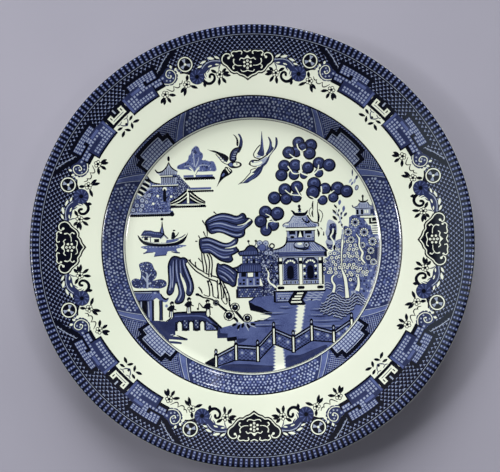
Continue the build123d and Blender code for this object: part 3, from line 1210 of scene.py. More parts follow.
def left_dove(art):
    """The dove that flies down from the left, wings spread."""
    art.blob("line", [(-25.6, 58.3), (-23.5, 57.6), (-21.2, 57.4), (-18.5, 56.4), (-15.5, 55.2),
                      (-13.2, 53.6), (-12.8, 52.2), (-13.6, 50.6), (-14.3, 50.2), (-16.2, 51.8),
                      (-18.4, 54.2), (-20.6, 55.9), (-23, 56.9)])
    art.line("line", [(-20.5, 55.3), (-18.6, 53), (-17, 50.8), (-15, 49.3), (-13, 48.6)], 0.5)
    for row in range(3):
        start = (-19.2 + 1.5 * row, 53.0 - 1.2 * row)
        art.line("cobalt", [start, (start[0] + 2.2, start[1] + 0.4)], 0.35, smooth=False)
    art.blob("line", [(-9.9, 66.8), (-8.6, 66.2), (-7.2, 64.4), (-6.6, 62), (-6.9, 60), (-7.6, 59.6),
                      (-8, 61), (-7.9, 63), (-8.6, 65.2)])
    art.blob("navy", [(-6.9, 66.8), (-5.9, 67), (-4.8, 65.2), (-4.1, 62.5), (-4.3, 60), (-5.2, 57.5),
                      (-6.6, 55.5), (-7.5, 57), (-6.6, 59.8), (-6, 62.4), (-5.9, 64.6)])
    art.blob("line", [(-7.6, 59), (-9.8, 58.2), (-11.6, 56), (-12.2, 54), (-12.4, 51.6), (-11, 50.2),
                      (-9, 50.4), (-8, 51.6), (-8, 53.6), (-7, 55.6), (-5.4, 57.6), (-5, 59.4)])
    art.blob("navy", [(-7.6, 58.2), (-9.6, 57.2), (-10.8, 55.4), (-11.4, 53.6), (-11.4, 51.8), (-10.2, 51.2),
                      (-8.8, 51.6), (-8.8, 53.6), (-8, 55.8), (-6.4, 57.8)])
    for row in range(4):
        art.rule("wash", (-10.9 + 0.5 * row, 52.2 + 1.3 * row), (-9.2 + 0.5 * row, 52.0 + 1.4 * row), 0.35)
    art.blob("line", [(-13.6, 48.7), (-12.6, 49.6), (-11, 50.4), (-8, 50.4), (-6, 49.8), (-4.9, 48.3),
                      (-6.2, 47), (-8.4, 46.4), (-11, 46.5), (-12.6, 47.4)])
    art.blob("white", [(-10.2, 48.2), (-9.6, 49.6), (-7.6, 49.6), (-6.2, 48.8), (-6.6, 47.8), (-8.6, 47.4)])
    art.disc("line", (-7.9, 48.9), 0.42, 8)
    art.blob("cobalt", [(-12.8, 48.7), (-11.4, 49.7), (-10.4, 49), (-10.6, 47.7), (-11.8, 47.6)])
    art.blob("line", [(-20.3, 35.3), (-18.2, 38.3), (-15.5, 40.8), (-12.6, 42.4), (-10.8, 43.9), (-11, 45.4),
                      (-12.8, 46.8), (-14.8, 47.4), (-15.4, 46.3), (-16.4, 45.4), (-17.6, 43.4),
                      (-18.3, 40.8), (-19.4, 37.6)])
    art.rule("white", (-14.6, 46.6), (-12.6, 43.6), 0.6)
    art.rule("white", (-13.2, 46.6), (-11.7, 44.6), 0.5)
    art.disc("cobalt", (-16.2, 42.6), 1.3, 10, squash=0.5, lean=50)


def right_dove(art):
    """The dove that comes to meet it from the right."""
    art.blob("navy", [(7.3, 68.4), (7.6, 66), (8, 62), (8.3, 58), (8.6, 54.6), (7.9, 53.2), (6, 53.4),
                      (4.4, 54.6), (5.2, 56.4), (6.2, 58.6), (6.7, 62), (7, 66)])
    art.line("line", [(6.2, 60), (4, 57.6), (2.3, 54.8), (2.5, 53), (3.6, 52.2), (6, 51.6), (8.4, 52.6)], 0.6)
    art.disc("wash", (5.2, 53), 1.4, 10, squash=0.5)
    art.blob("navy", [(11, 64.6), (12, 64.2), (13.2, 61.6), (13.4, 59), (14.4, 57.8), (13, 55.8), (10.6, 54),
                      (9.4, 54.4), (10.6, 56.6), (11.6, 59.4), (11.8, 62)])
    art.blob("navy", [(15.6, 64.4), (16.6, 63.6), (16.8, 60.6), (15.8, 57.8), (13.6, 55.2), (12, 53),
                      (11.2, 50.8), (9.8, 48.4), (8, 47), (5.6, 46.2), (6.2, 47.4), (9, 49.6), (10.8, 52.6),
                      (12.8, 55), (14.6, 57.6), (15.4, 60.6), (15.4, 63)])
    art.blob("wash", [(1.4, 49.4), (4.4, 49.8), (7.6, 51.4), (10.4, 52.8), (9, 49.6), (6, 47.6), (2.8, 47.6)])
    art.blob("white", [(1.2, 49.2), (4.2, 49.4), (6.6, 50.2), (7.4, 49.2), (5.4, 48), (2.4, 47.8)])
    art.line("line",
             [(-0.4, 49.4), (1, 50.6), (2.6, 50.8), (4.4, 50.6), (6.4, 51.4), (8.6, 52.8), (10.8, 54.2)], 0.8)
    art.line("line", [(-0.4, 48.6), (0.4, 47.8), (2, 47.2), (4, 46.8)], 0.5)
    art.disc("line", (-0.2, 48.7), 0.7, 8)
    art.disc("navy", (1.6, 50.1), 0.75, 8)
    art.blob("navy", [(-7.6, 36.3), (-6, 37), (-3.6, 37.2), (-1.6, 37.4), (0.6, 38.8), (3, 40), (5, 41.6),
                      (6.6, 43.6), (7.6, 46), (8, 47.2), (5.6, 47), (4.2, 46.4), (2.6, 44.6), (1, 43.4),
                      (2.4, 43), (0.6, 41.8), (-1.4, 40.4), (-3.2, 38.8), (-4.4, 37.8), (-6.4, 37.4)])
    art.line("line", [(-6.6, 37), (-4, 39), (-2, 41.2), (0, 43.4), (0.2, 44.8), (1.6, 45.6), (3.4, 46)], 0.5)
    for stripe in ([(7.4, 66), (7.7, 61), (7.4, 56)], [(12.0, 61.6), (12.6, 58.8), (11.4, 56.0)],
                   [(-3.6, 38.0), (0.4, 40.4), (4.0, 44.0)], [(-1.0, 38.6), (3.0, 41.4), (6.2, 45.4)]):
        art.line("cobalt", stripe, [0.2, 0.5, 0.3])


# Buildings.


def uprights(art, ink, left, right, low, high, pitch, width):
    """Upright lines at an even pitch."""
    for step in range(int((right - left) / pitch) + 1):
        x = left + step * pitch
        art.block(ink, x - width / 2, x + width / 2, low, high)


def ground_floor(art):
    """The pagoda's lower storey: two arched rooms between white columns, on a white step."""
    art.block("line", 15.2, 42.0, -24.2, -7.6)
    for left, right, middle in ((18.0, 27.2, 22.6), (29.9, 39.0, 34.4)):
        art.block("wash", left, right, -23.6, -8.2)
        art.block("navy", left + 0.5, right - 0.5, -21.2, -11.8)
        arch = [(middle + 3.9 * math.cos(angle), -12 + 3.6 * math.sin(angle)) for angle in ARCH_ANGLES]
        art.line("line", arch, 1.3)
        art.area("navy", arch)
        for angle in ARCH_ANGLES[1:-1]:
            art.disc("white", (middle + 2.6 * math.cos(angle), -12 + 2.2 * math.sin(angle)), 0.62, 9)
        for inner, outer in ((middle - 2.2, left + 0.6), (middle + 2.2, right - 0.6)):
            hatch(art, "cobalt", [(outer, -21), (inner, -21), (inner, -12), (outer, -12)], 45, 1.0, 0.4)
        art.blob("line", [(middle - 1.9, -20.2), (middle - 1.9, -14.4), (middle - 0.6, -12.8),
                          (middle + 0.8, -13), (middle + 1.6, -14.4), (middle + 1.6, -20.2)], 2)
        art.block("line", left, right, -21.6, -21.2)
        for step in range(7):
            art.block("line" if step % 2 else "cobalt", left + 0.5 + step * 1.25, left + 1.3 + step * 1.25,
                      -23.4, -22.0)
    for x in (30.8, 37.4):
        for y, ink in ((-13.2, "white"), (-15.4, "line"), (-17.6, "white"), (-19.6, "line")):
            art.disc(ink, (x, y), 0.8, 8)
    for column in (16.8, 28.6, 40.1):
        art.block("white", column - 0.85, column + 0.85, -24.0, -11.9)
        art.block("white", column - 0.75, column + 0.75, -9.9, -8.2)
    art.area("white", [(14.4, -27.4), (14.4, -24.2), (42.2, -24.2), (42.2, -27.4)])
    art.block("line", 12.4, 43.0, -28.4, -27.5)
    for left, right in ((14.8, 18.5), (26.8, 30.4), (38.2, 41.6)):
        middle = (left + right) / 2
        art.blob("line", [(left, -25.1), (middle, -24.9), (right, -25.1), (right, -26.5), (middle, -26.7),
                          (left, -26.5)], 3)


ARCH_ANGLES = [math.radians(angle) for angle in (0, 30, 60, 90, 120, 150, 180)]


def terrace(art):
    """The stone terrace under the pagoda, with its flight of steps."""
    art.block("cobalt", 12.4, 43.0, -34.4, -28.4)
    art.block("line", 12.2, 13.5, -34.3, -27.6)
    for row in range(4):
        y = -29.2 - 1.35 * row
        for step in range(10):
            x = 14.6 + step * 1.05 + row % 2 * 0.5
            if x < 23.4 - 1.0 * row:
                art.disc("wash", (x, y), 0.52, 8, squash=0.7)
        ripple = [(32.4 - 0.7 * row + step * 1.2, y + 0.25 * math.sin(1.9 * step + row)) for step in range(9)]
        art.line("wash", ripple, 0.6)
    for x, y in ((16.2, -32.1), (18.8, -32.3), (34.6, -33.2)):
        art.disc("line", (x, y), 0.55, 8)
    art.block("line", 13.0, 21.0, -34.5, -33.8)
    art.area("line", [(24.2, -28), (20.4, -34), (22.2, -36.2), (30.6, -36.2), (28.4, -33), (32.2, -28)])
    for left, right, high in ((25.9, 30.7, -28.8), (24.4, 29.4, -30.5), (22.9, 28.1, -32.0),
                              (22.3, 28.7, -33.8)):
        art.area("white",
                 [(left, high - 0.95), (right, high - 0.95), (right + 0.2, high), (left + 0.3, high)])
    art.area("line", [(30.4, -28), (32.6, -28), (29.4, -33), (31.2, -35.8), (29.6, -35.8), (27.9, -33)])


def main_roof(art):
    """The pagoda's broad lower roof: a scroll panel between ribs, on banded eaves."""
    body = [(20.6, 4), (20.2, 0.6), (18.6, -1.2), (16, -2.6), (12.4, -3.6), (13, -4.5), (44.4, -4.5),
            (43.2, -3.2), (41, -1.4), (38.6, 0), (36.8, 1.6), (36.4, 4)]
    art.area("wash", body)
    for step in range(14):
        x = 13.8 + step * 0.95
        top = np.interp(x, (12, 16, 18.6, 20.4, 27), (-3.6, -2.6, -1.0, 0.6, 0.8))
        art.block("cobalt", x - 0.22, x + 0.22, -4.4, top)
    art.area("cobalt", [(31.6, 0.8), (36.8, 0.8), (42.4, -3), (44, -4.4), (30, -4.4)])
    hatch(art, "wash", [(33.6, 0.6), (36.6, 0.6), (42.8, -4.2), (35.4, -4.2)], -50, 1.1, 0.55)
    art.line("line", [(20.8, 4.4), (20.5, 1.2), (19.2, -0.8), (16.8, -2.2), (14, -3.0), (11, -3.3)],
             [0.6, 0.9, 1.0, 1.0, 0.9, 0.5])
    art.line("line", [(36.2, 1.6), (38.6, 0), (41, -1.4), (43.2, -3.2), (44.4, -4.8)],
             [0.7, 0.8, 0.8, 1.0, 1.2])
    art.disc("navy", (29, -0.6), 4.4, 24, squash=0.55)
    art.disc("wash", (29, -0.4), 3.7, 22, squash=0.46)
    art.disc("white", (28.4, 0.1), 1.5, 12, squash=0.5)
    art.disc("line", (32.4, -0.6), 1.9, 16)
    art.disc("wash", (32.4, -0.6), 1.35, 14)
    art.disc("line", (32.2, -0.7), 0.65, 10)
    art.line("line", [(24.6, -1.6), (26.6, -2.6), (29.2, -3.1), (31.6, -3.2), (33.8, -2.6)],
             [0.4, 0.8, 1.0, 1.1, 0.6])
    art.block("navy", 15.8, 44.2, -7.9, -4.4)
    for low, high, ink in ((-4.5, -4.15, "wash"), (-5.4, -4.8, "cobalt"), (-6.6, -6.1, "cobalt"),
                           (-7.9, -7.45, "wash")):
        art.block(ink, 15.8, 43.0, low, high)
    art.rule("line", (31, -5.8), (44.0, -5.8), 0.45)
    art.area("line", [(42.6, -5.2), (44.2, -4.4), (44.4, -8.1), (42.8, -7.3)])


def upper_floor(art):
    """The pagoda's upper storey, with its windows and balcony."""
    art.block("navy", 20.8, 37.4, 1.0, 8.2)
    art.block("cobalt", 21.4, 36.6, 2.0, 3.9)
    art.block("cobalt", 21.6, 36.2, 4.0, 7.9)
    art.block("line", 22.3, 26.0, 5.9, 7.9)
    art.block("line", 31.6, 35.6, 6.1, 7.9)
    arch = [(24.1 + 2.6 * math.cos(angle), 3.6 + 2.0 * math.sin(angle)) for angle in ARCH_ANGLES]
    art.area("wash", arch)
    art.disc("line", (24.1, 4.1), 1.3, 12, squash=0.62)
    art.block("line", 27.0, 30.8, 4.0, 7.9)
    art.area("white", [(28.8, 7.8), (27.6, 4.0), (30.0, 4.0)])
    art.block("wash", 31.8, 35.7, 3.4, 5.8)
    art.block("line", 32.7, 34.8, 3.9, 4.9)
    for column in (26.4, 31.2, 21.5, 36.4):
        art.block("wash", column - 0.35, column + 0.35, 3.9, 8.0)
    for step in range(13):
        art.disc("wash", (22.0 + 1.2 * step, 2.7), 0.36, 7)
    art.block("line", 20.8, 37.2, 0.9, 1.6)
    art.block("line", 20.4, 37.8, 7.6, 8.2)
    art.block("white", 20.8, 37.4, 8.1, 9.5)
    art.block("line", 20.2, 38.2, 9.5, 10.1)


def top_roof(art):
    """The pagoda's upper roof, its ridge with curled ends, and the finial."""
    art.area("wash", [(20.2, 12.4), (21.6, 12.8), (23, 14), (23.9, 15.6), (25, 17), (33.4, 17), (34.8, 14.6),
                      (36.6, 12.8), (39.2, 12.0), (39.6, 10.1), (20, 10.1), (18.6, 11.2)])
    uprights(art, "cobalt", 21.6, 27.6, 10.2, 12.4, 1.1, 0.4)
    chance = random.Random(14)
    for place in scatter([(24.4, 12.4), (25.4, 16.4), (32.4, 16.4), (31, 11), (27.6, 10.6)], 1.3, chance):
        art.disc("cobalt", place, 0.42, 7, squash=0.7)
    art.area("cobalt",
             [(32.6, 16.4), (34.2, 14.2), (36.2, 12.2), (38.6, 11.2), (38.6, 10.2), (33, 10.2), (31.6, 12)])
    hatch(art, "wash", [(33.4, 14.6), (36.4, 11.6), (38.6, 10.8), (38.4, 10.3), (32.6, 10.3)], -48, 1.0, 0.4)
    art.line("line", [(30.2, 15.6), (31.2, 13.8), (33, 12.7), (34.3, 13.2), (33.6, 14.0)],
             [0.7, 0.8, 1.0, 1.0, 0.7])
    art.line("navy",
             [(25.2, 17), (23.9, 15.6), (23, 14), (21.6, 12.9), (20, 12.6), (18.6, 11.4), (19.2, 10.2)],
             [0.8, 0.6, 0.6, 0.6, 0.5, 0.5, 0.4])
    art.rule("white", (20.0, 12.0), (22.0, 11.6), 0.7)
    art.line("line", [(33.2, 17), (34.6, 14.8), (36.4, 13.0), (39.6, 12.0), (39.8, 10.2)],
             [0.9, 0.8, 0.7, 0.8, 0.6])
    art.line("line", [(23.6, 20.0), (24.8, 19.4), (25.8, 18.0), (27.6, 17.6), (31.0, 17.6), (32.4, 18.2),
                      (33.6, 20.0)], [0.5, 1.1, 1.7, 2.1, 2.1, 1.6, 0.5])
    art.disc("cobalt", (28.8, 19.3), 1.0, 12, squash=0.5)
    art.disc("line", (28.8, 20.5), 0.95, 12)
    art.disc("line", (28.6, 22.4), 1.1, 14, squash=0.75, lean=90)


def small_house_top(art):
    """The upper storey of the house between the willow and the pagoda, with its roof and horns."""
    for side in (-1, 1):
        foot = 0.3 + side * 0.9
        art.line("navy", [(foot, -1.2), (foot + side * 1.0, 0.4), (0.2 + side * 2.2, 2.2)], [0.8, 0.5, 0.4])
        art.disc("line", (0.2 + side * 2.2, 2.4), 0.75, 10)
    art.area("navy", [(-8.6, -4.6), (-7.2, -3.8), (-4.4, -3.2), (-2.8, -1.2), (-0.6, -0.4), (1.6, -1.2),
                      (3.2, -3.2), (3.8, -5.8), (-7.8, -5.8)])
    uprights(art, "cobalt", -6.6, 3.0, -5.8, -3.6, 1.0, 0.4)
    art.line("line", [(-9.4, -4.2), (-7.2, -3.6), (-4.4, -3), (-2.8, -1), (-0.6, -0.2), (1.6, -1), (3.2, -3),
                      (3.8, -5)], [0.5, 0.9, 0.9, 0.9, 1.0, 0.9, 0.9, 0.6])
    art.block("line", -7.6, 4.0, -6.4, -5.6)
    art.block("navy", -6.0, 3.4, -11.2, -6.2)
    for row in range(3):
        for step in range(6):
            art.disc("wash" if (row + step) % 2 else "cobalt", (-5.0 + 1.5 * step, -7.2 - 1.4 * row), 0.55, 8)
    art.area("line", [(-3.6, -10.8), (-3.6, -8.2), (-2.4, -8.2), (-2.4, -10.8)])
    art.area("line", [(0.4, -10.8), (0.4, -8.2), (1.6, -8.2), (1.6, -10.8)])


def small_house_foot(art):
    """The lower roof and storey of that house, on its terrace."""
    art.area("navy", [(-6.2, -11), (3.6, -11), (5.2, -13.4), (5.8, -16), (-8.6, -16), (-9.4, -14.4),
                      (-12.4, -13.4), (-9, -12.6)])
    uprights(art, "cobalt", -7.6, 4.6, -15.8, -12.0, 1.1, 0.4)
    art.line("line", [(-12.8, -13.3), (-9.6, -13.0), (-7.6, -12.0), (-6.2, -10.8)], [0.4, 0.9, 0.9, 0.7])
    art.block("line", -8.6, 5.8, -16.5, -15.7)
    art.block("cobalt", -8.2, 4.6, -20.2, -16.4)
    art.block("navy", -3.4, 0.8, -20.2, -16.4)
    art.block("line", -6.7, -3.8, -18.7, -16.4)
    art.block("white", -2.8, 0.3, -18.8, -16.4)
    art.block("line", 1.5, 3.5, -18.9, -16.4)
    art.block("cobalt", -8.8, 4.2, -24.0, -19.4)
    for x, y in ((-5.2, -20.7), (-7.3, -22.7), (-5.3, -22.8), (-1.2, -21.6), (2.9, -20.7), (2.9, -22.8)):
        art.block("line", x - 0.7, x + 0.7, y - 0.6, y + 0.6)
    art.block("wash", -3.6, -2.6, -23.8, -19.8)
    art.block("wash", 0.4, 1.2, -23.8, -19.8)
    art.block("navy", -9.4, 5.4, -31.0, -24.2)
    art.block("wash", -8.2, 3.8, -24.4, -23.9)
    art.block("line", -8.4, 3.0, -25.5, -24.8)
    for row in range(4):
        y = -26.4 - 1.25 * row
        for step in range(9):
            art.disc("cobalt" if (row + step) % 3 else "wash", (-7.8 + 1.5 * step + row % 2 * 0.7, y), 0.58,
                     8, squash=0.7)
    art.block("line", -10.0, -8.8, -31.2, -26.0)
    art.block("line", -10.0, 1.0, -31.3, -30.7)


def small_pagoda(art):
    """The little pagoda at the right edge, with its terrace."""
    art.area("cobalt", [(72.2, 32), (76, 32), (76, 10), (73, 10), (71.4, 20)])
    art.block("line", 66.0, 66.8, 24.6, 26.6)
    art.disc("line", (66.4, 27.4), 1.0, 12, squash=0.7, lean=90)
    art.area("wash", [(64.4, 23.8), (69, 23.8), (70.6, 21.8), (71.8, 21.4), (71.4, 20.2), (61.6, 20.2),
                      (60.4, 20.8), (63.0, 21.6)])
    uprights(art, "cobalt", 64.2, 70.0, 20.6, 22.8, 1.1, 0.4)
    art.line("navy", [(60.0, 22.2), (60.8, 20.9), (63.0, 21.6), (64.4, 23.6)], [0.8, 0.7, 0.5, 0.5])
    art.line("navy", [(69, 23.8), (70.4, 21.8), (72.0, 21.2)], 0.6)
    art.line("line", [(63.8, 25.4), (64.8, 24.4), (66.6, 24.1), (68.2, 24.3), (69.4, 25.2)],
             [0.5, 1.0, 1.1, 1.0, 0.5])
    art.block("navy", 61.6, 71.4, 19.8, 20.4)
    art.block("wash", 62.0, 71.4, 16.2, 19.9)
    for left, right, ink in ((62.3, 63.7, "line"), (65.0, 66.4, "line"), (70.6, 72.8, "navy")):
        art.block(ink, left, right, 16.6, 19.6)
    for x in (67.6, 69.0):
        art.block("white", x - 0.5, x + 0.5, 17.4, 19.2)
    art.block("navy", 62.0, 72.8, 15.7, 16.3)
    art.block("white", 64.6, 73.4, 14.7, 15.6)
    art.block("line", 66.6, 73.8, 14.0, 14.5)
    art.area("white", [(66.8, 13.9), (73.8, 13.9), (74.4, 10), (69.2, 10)])
    art.area("line", [(69.7, 14.2), (74.6, 14.2), (75, 10.8), (69.7, 10.8)])
    art.line("white", [(71.2, 14), (71.2, 12.2), (74.6, 12.2)], 0.5, smooth=False)
    art.area("white", [(70.4, 10.3), (75.2, 10.3), (75.2, 4.6), (71.8, 4.6), (71.0, 7.6)])
    for y in (9.6, 8.2, 6.9, 5.6):
        art.rule("navy", (71.4, y), (75.4, y), 0.5)
    art.line("wash", [(71.2, 27), (72.6, 23), (73.8, 19)], 0.5)


# The willow.


def willow_tuft(art, outline, lines):
    """One drooping tuft of leaves: a dark outline, dark blue inside, with flowing lines."""
    art.blob("line", outline)
    art.line("line", outline + outline[:1], 0.9, steps=3)
    centre = Vector((sum(x for x, _ in outline), sum(y for _, y in outline))) / len(outline)
    inner = []
    for point in outline:
        reach = centre - Vector(point)
        inner.append(Vector(point) + reach.normalized() * min(0.55, reach.length / 3))
    art.blob("navy", inner)
    for ink, points, width in lines:
        if ink == "wash":
            size = width * 1.45
            art.line("cobalt", points, tapered(points, size * 0.5, size))
            art.line("wash", points, tapered(points, 0.1, width * 0.45)[:-1] + [width * 0.7])
        else:
            size = width * 0.6
            art.line(ink, points, tapered(points, size * 0.5, size))


def willow_crown(art):
    """The willow's three upper sprays, swept to the right."""
    willow_tuft(art, [(-27.4, 14.6), (-25, 16.8), (-21, 18.6), (-17, 19.4), (-13, 18.8), (-9.6, 17.6),
                      (-7.4, 17.8), (-5.6, 19), (-4, 18.6), (-3.2, 17), (-3.0, 16.2), (-1.4, 16), (0.6, 14.2),
                      (-1.2, 11.8), (-4.0, 9.6), (-4.2, 6.8), (-6, 5), (-8.4, 4.6), (-11, 5), (-14, 6.4),
                      (-17, 7.8), (-20, 8.4), (-23.8, 7.6), (-25.8, 9.4), (-26.6, 12)], [
        ("wash", [(-25.4, 15.2), (-21, 17.2), (-17, 17.8), (-12.6, 17.0), (-9, 16), (-5.4, 17.2)], 0.8),
        ("cobalt", [(-25.6, 14.0), (-21, 15.6), (-17, 16.2), (-13, 15.4), (-9, 14.6), (-4.4, 15.6)], 0.9),
        ("line", [(-26.6, 13), (-23, 14.5), (-19, 15.1), (-15, 14.6), (-11.8, 13.4), (-8, 12.6), (-4.6, 13.4),
                  (-2.2, 15.4)], 1.0),
        ("wash", [(-25, 12.4), (-21.6, 13.4), (-18, 13.4), (-14, 12.2), (-10, 11), (-6, 11), (-2.6, 13)],
         0.9),
        ("cobalt", [(-25, 11), (-21, 12), (-17.6, 11.6), (-13.6, 10.2), (-9.6, 9.2), (-5.6, 9.8), (-2, 12.2)],
         0.9),
        ("line", [(-25.2, 9.6), (-22.2, 10.8), (-18.8, 10.8), (-15, 9.8), (-11, 8.2), (-8, 7.6), (-5.4, 8.2)],
         0.9),
        ("wash", [(-23.6, 9.4), (-20, 9.6), (-16.6, 8.8), (-12.6, 7.2), (-8.8, 6.2), (-6, 6.8)], 0.8),
    ])
    art.line("white", [(-0.6, 15.4), (-4.0, 12.9), (-8.4, 11.9)], [1.2, 0.7, 0.2])
    willow_tuft(art, [(-31, 4.4), (-29, 5), (-26, 5.2), (-22, 3.8), (-19, 2.4), (-16, 1.4), (-13, 1.8),
                      (-10.4, 3.6), (-8.4, 4.2), (-8.6, 2.2), (-9.6, 0.2), (-9, -1.6), (-8.0, -3),
                      (-9.8, -4.4), (-12.2, -5.8), (-11.6, -8.4), (-13.6, -9.8), (-17, -9.2), (-20, -7.8),
                      (-23, -5.4), (-25, -4), (-28, -3.8), (-29.8, -3.4), (-30.8, -1), (-31.2, 1.6)], [
        ("wash", [(-29.6, 3.6), (-26, 3.8), (-22, 2.4), (-18.6, 0.9), (-15.4, 0.2), (-12.4, 0.8), (-10, 2.4)],
         0.8),
        ("line",
         [(-30, 2.2), (-25.6, 2.4), (-22, 0.9), (-18.4, -0.7), (-15, -1.4), (-12, -1.0), (-10.2, 0.2)], 0.9),
        ("wash", [(-29.8, 0.9), (-25.6, 1.0), (-22, -0.6), (-18.6, -2.2), (-14.8, -2.9), (-11, -2.6)], 0.9),
        ("cobalt",
         [(-30, -0.6), (-26, -0.6), (-22.8, -2.0), (-20, -3.9), (-16.6, -5.0), (-13, -4.6), (-10.4, -3.6)],
         0.9),
        ("wash", [(-28.8, -2.2), (-25.6, -2.0), (-22.8, -3.6), (-20, -5.6), (-17, -6.8), (-13.6, -6.6)], 0.8),
        ("line", [(-22.4, -5.0), (-19.4, -7.2), (-16.4, -8.2), (-13.4, -8.2)], 0.6),
    ])
    art.line("white", [(-8.2, 0.4), (-12.4, -1.0), (-16.0, -1.4)], [1.3, 0.7, 0.2])
    tail = [(-20.6, -10.2), (-19, -11.2), (-16.4, -11), (-13, -12.6), (-10.6, -14.4), (-9, -16),
            (-9.6, -19.6), (-10.2, -23.4), (-12, -24.2), (-14, -22.8), (-17, -21.6), (-19.4, -19.6),
            (-21, -17), (-21.4, -14.4), (-21, -12.4)]
    willow_tuft(art, tail, [
        ("cobalt", [(-20.4, -12.4), (-16.6, -14.2), (-13, -16.8), (-10.6, -19.4)], 0.9),
        ("wash", [(-20.2, -14.2), (-16.8, -16.0), (-13.6, -18.6), (-11.4, -21.4)], 0.8),
        ("line", [(-20.6, -15.8), (-17.6, -17.4), (-14.6, -19.8), (-12.2, -22.6)], 0.8),
        ("wash", [(-19.6, -17.6), (-17, -18.8), (-14.8, -20.8)], 0.7),
        ("wash", [(-17.6, -12.0), (-14, -14.0), (-11, -16.6)], 0.7),
    ])


def willow_fingers(art):
    """The willow's hanging sprays on the left."""
    outline = [(-50, -14), (-49.9, -10.4), (-48.6, -7.2), (-46.8, -5.6), (-44.4, -5.8), (-42.6, -6.6),
               (-40.6, -6.4), (-38.8, -7.6), (-38.8, -8.8), (-39.8, -10), (-38.6, -13), (-37, -17),
               (-35.6, -21), (-35.2, -25), (-36.4, -28.2), (-38, -29), (-39.3, -27.6), (-38.9, -24),
               (-40, -20), (-42.2, -15), (-41.6, -19), (-40.9, -24), (-40.6, -29), (-41.8, -32.6),
               (-45, -33.6), (-46.2, -32.4), (-44.6, -29.6), (-43.8, -27), (-44.4, -23), (-45.6, -20.6),
               (-46.6, -23), (-47.4, -26.6), (-49.6, -28.4), (-51, -26.6), (-49.9, -22), (-49.8, -18)]
    willow_tuft(art, outline, [
        ("wash", [(-48.8, -11), (-48.7, -16), (-48.6, -21), (-49.4, -25.6)], 0.8),
        ("wash", [(-46.9, -8), (-47.2, -13), (-47.2, -18), (-47.9, -24)], 0.7),
        ("line", [(-46.2, -7.4), (-46.3, -13), (-46.3, -18), (-46.3, -21)], 0.9),
        ("wash", [(-45.1, -7.4), (-45.1, -13), (-44.6, -18), (-43.4, -23), (-42.7, -28), (-44.4, -31.8)],
         0.8),
        ("line", [(-44, -8), (-43.9, -13), (-43.4, -18), (-42.4, -23), (-41.8, -28), (-42.8, -31.6)], 0.5),
        ("wash", [(-42.9, -8), (-42.8, -12), (-42.4, -16), (-41.8, -20)], 0.5),
        ("line", [(-42.2, -7.6), (-41.6, -12), (-40.1, -17), (-38, -22), (-37.9, -26)], 0.6),
        ("wash", [(-40.9, -7.8), (-40.3, -12), (-38.6, -17), (-36.9, -22), (-37.2, -26.6)], 0.8),
    ])
    art.line("white", [(-42.9, -15.4), (-42.2, -18), (-40.9, -22), (-40.0, -26.6)], [0.3, 1.0, 1.2, 0.8])


def willow_trunk(art):
    """The leaning trunk and its forks."""
    for bough, width in (
        ([(-38.4, -8), (-36.2, -10.6), (-33, -13.8), (-30.4, -15.4), (-27.4, -17.4), (-24, -18.8), (-21, -20),
          (-19.6, -22.4), (-18.4, -27), (-18.2, -31)], [0.9, 1.3, 1.8, 2.0, 2.2, 2.4, 2.4, 2.3, 2.2, 1.6]),
        ([(-29.4, -3.4), (-28.9, -8), (-28.2, -12), (-28.0, -15.6)], [1.1, 1.7, 2.0, 1.6]),
        ([(-26.4, -4.4), (-25, -7), (-24.6, -11), (-25, -15), (-25.2, -18.4)], [1.2, 1.6, 1.6, 1.7, 1.5]),
        ([(-26.4, -20), (-25.2, -23), (-24.7, -27), (-24.7, -31)], [1.2, 1.9, 1.8, 2.2]),
        ([(-20.2, -20), (-20.0, -24), (-19.6, -28), (-19.4, -32)], [1.4, 2.0, 2.0, 2.0]),
        ([(-18.6, -21), (-17, -24.6), (-15.4, -28.6), (-14.6, -33)], [0.9, 1.4, 1.8, 1.9]),
    ):
        art.line("line", bough, [size + 0.8 for size in width])
        art.line("white", bough, [max(0.35, size - 0.85) for size in width])


def willow_roots(art):
    """The willow's spreading roots, down the bank to the flowers."""
    art.area("white", [(-25.2, -29.6), (-23.6, -29.8), (-20, -31.6), (-16, -34.6), (-13.6, -35.8),
                       (-10.6, -38.8), (-6, -44.2), (-3.4, -45.8), (-9, -46.6), (-10.2, -44.6),
                       (-15.4, -39.2), (-19.6, -35.4), (-23, -33.2), (-27, -31.4), (-31, -30.4)])
    art.line("line", [(-33.4, -28.6), (-31.6, -29), (-29.4, -30.3), (-26.6, -30.9), (-24, -31.8),
                      (-21.4, -33.8), (-19, -36), (-16.4, -38.2), (-13.8, -40.6), (-11.4, -42.8),
                      (-9.7, -44.6), (-10, -46)],
             [1.2, 1.2, 0.9, 0.8, 1.0, 1.2, 1.3, 1.5, 1.5, 1.6, 1.4, 0.8])
    art.line("line", [(-14.2, -30), (-14.1, -33.6), (-13.6, -35.8), (-11.6, -38), (-9.6, -40), (-7.6, -42.4),
                      (-5.6, -45)], [0.8, 1.0, 1.2, 1.2, 1.5, 1.6, 1.0])
    art.line("line", [(-32.2, -24), (-30.8, -25.8), (-30, -28)], [0.8, 0.9, 0.6])
    art.disc("line", (-32.9, -28.5), 1.3, 10, squash=0.7)
    for crook in ([(-29.2, -28.6), (-27.6, -29.4), (-26, -29.6), (-25.6, -28)],
                  [(-23.8, -29.6), (-22.6, -30.4), (-21.2, -30.8), (-20.8, -29)],
                  [(-19, -31), (-17.6, -33.4), (-16.2, -34.6), (-15.4, -33.6), (-15.2, -31)]):
        art.line("line", crook, 0.55)


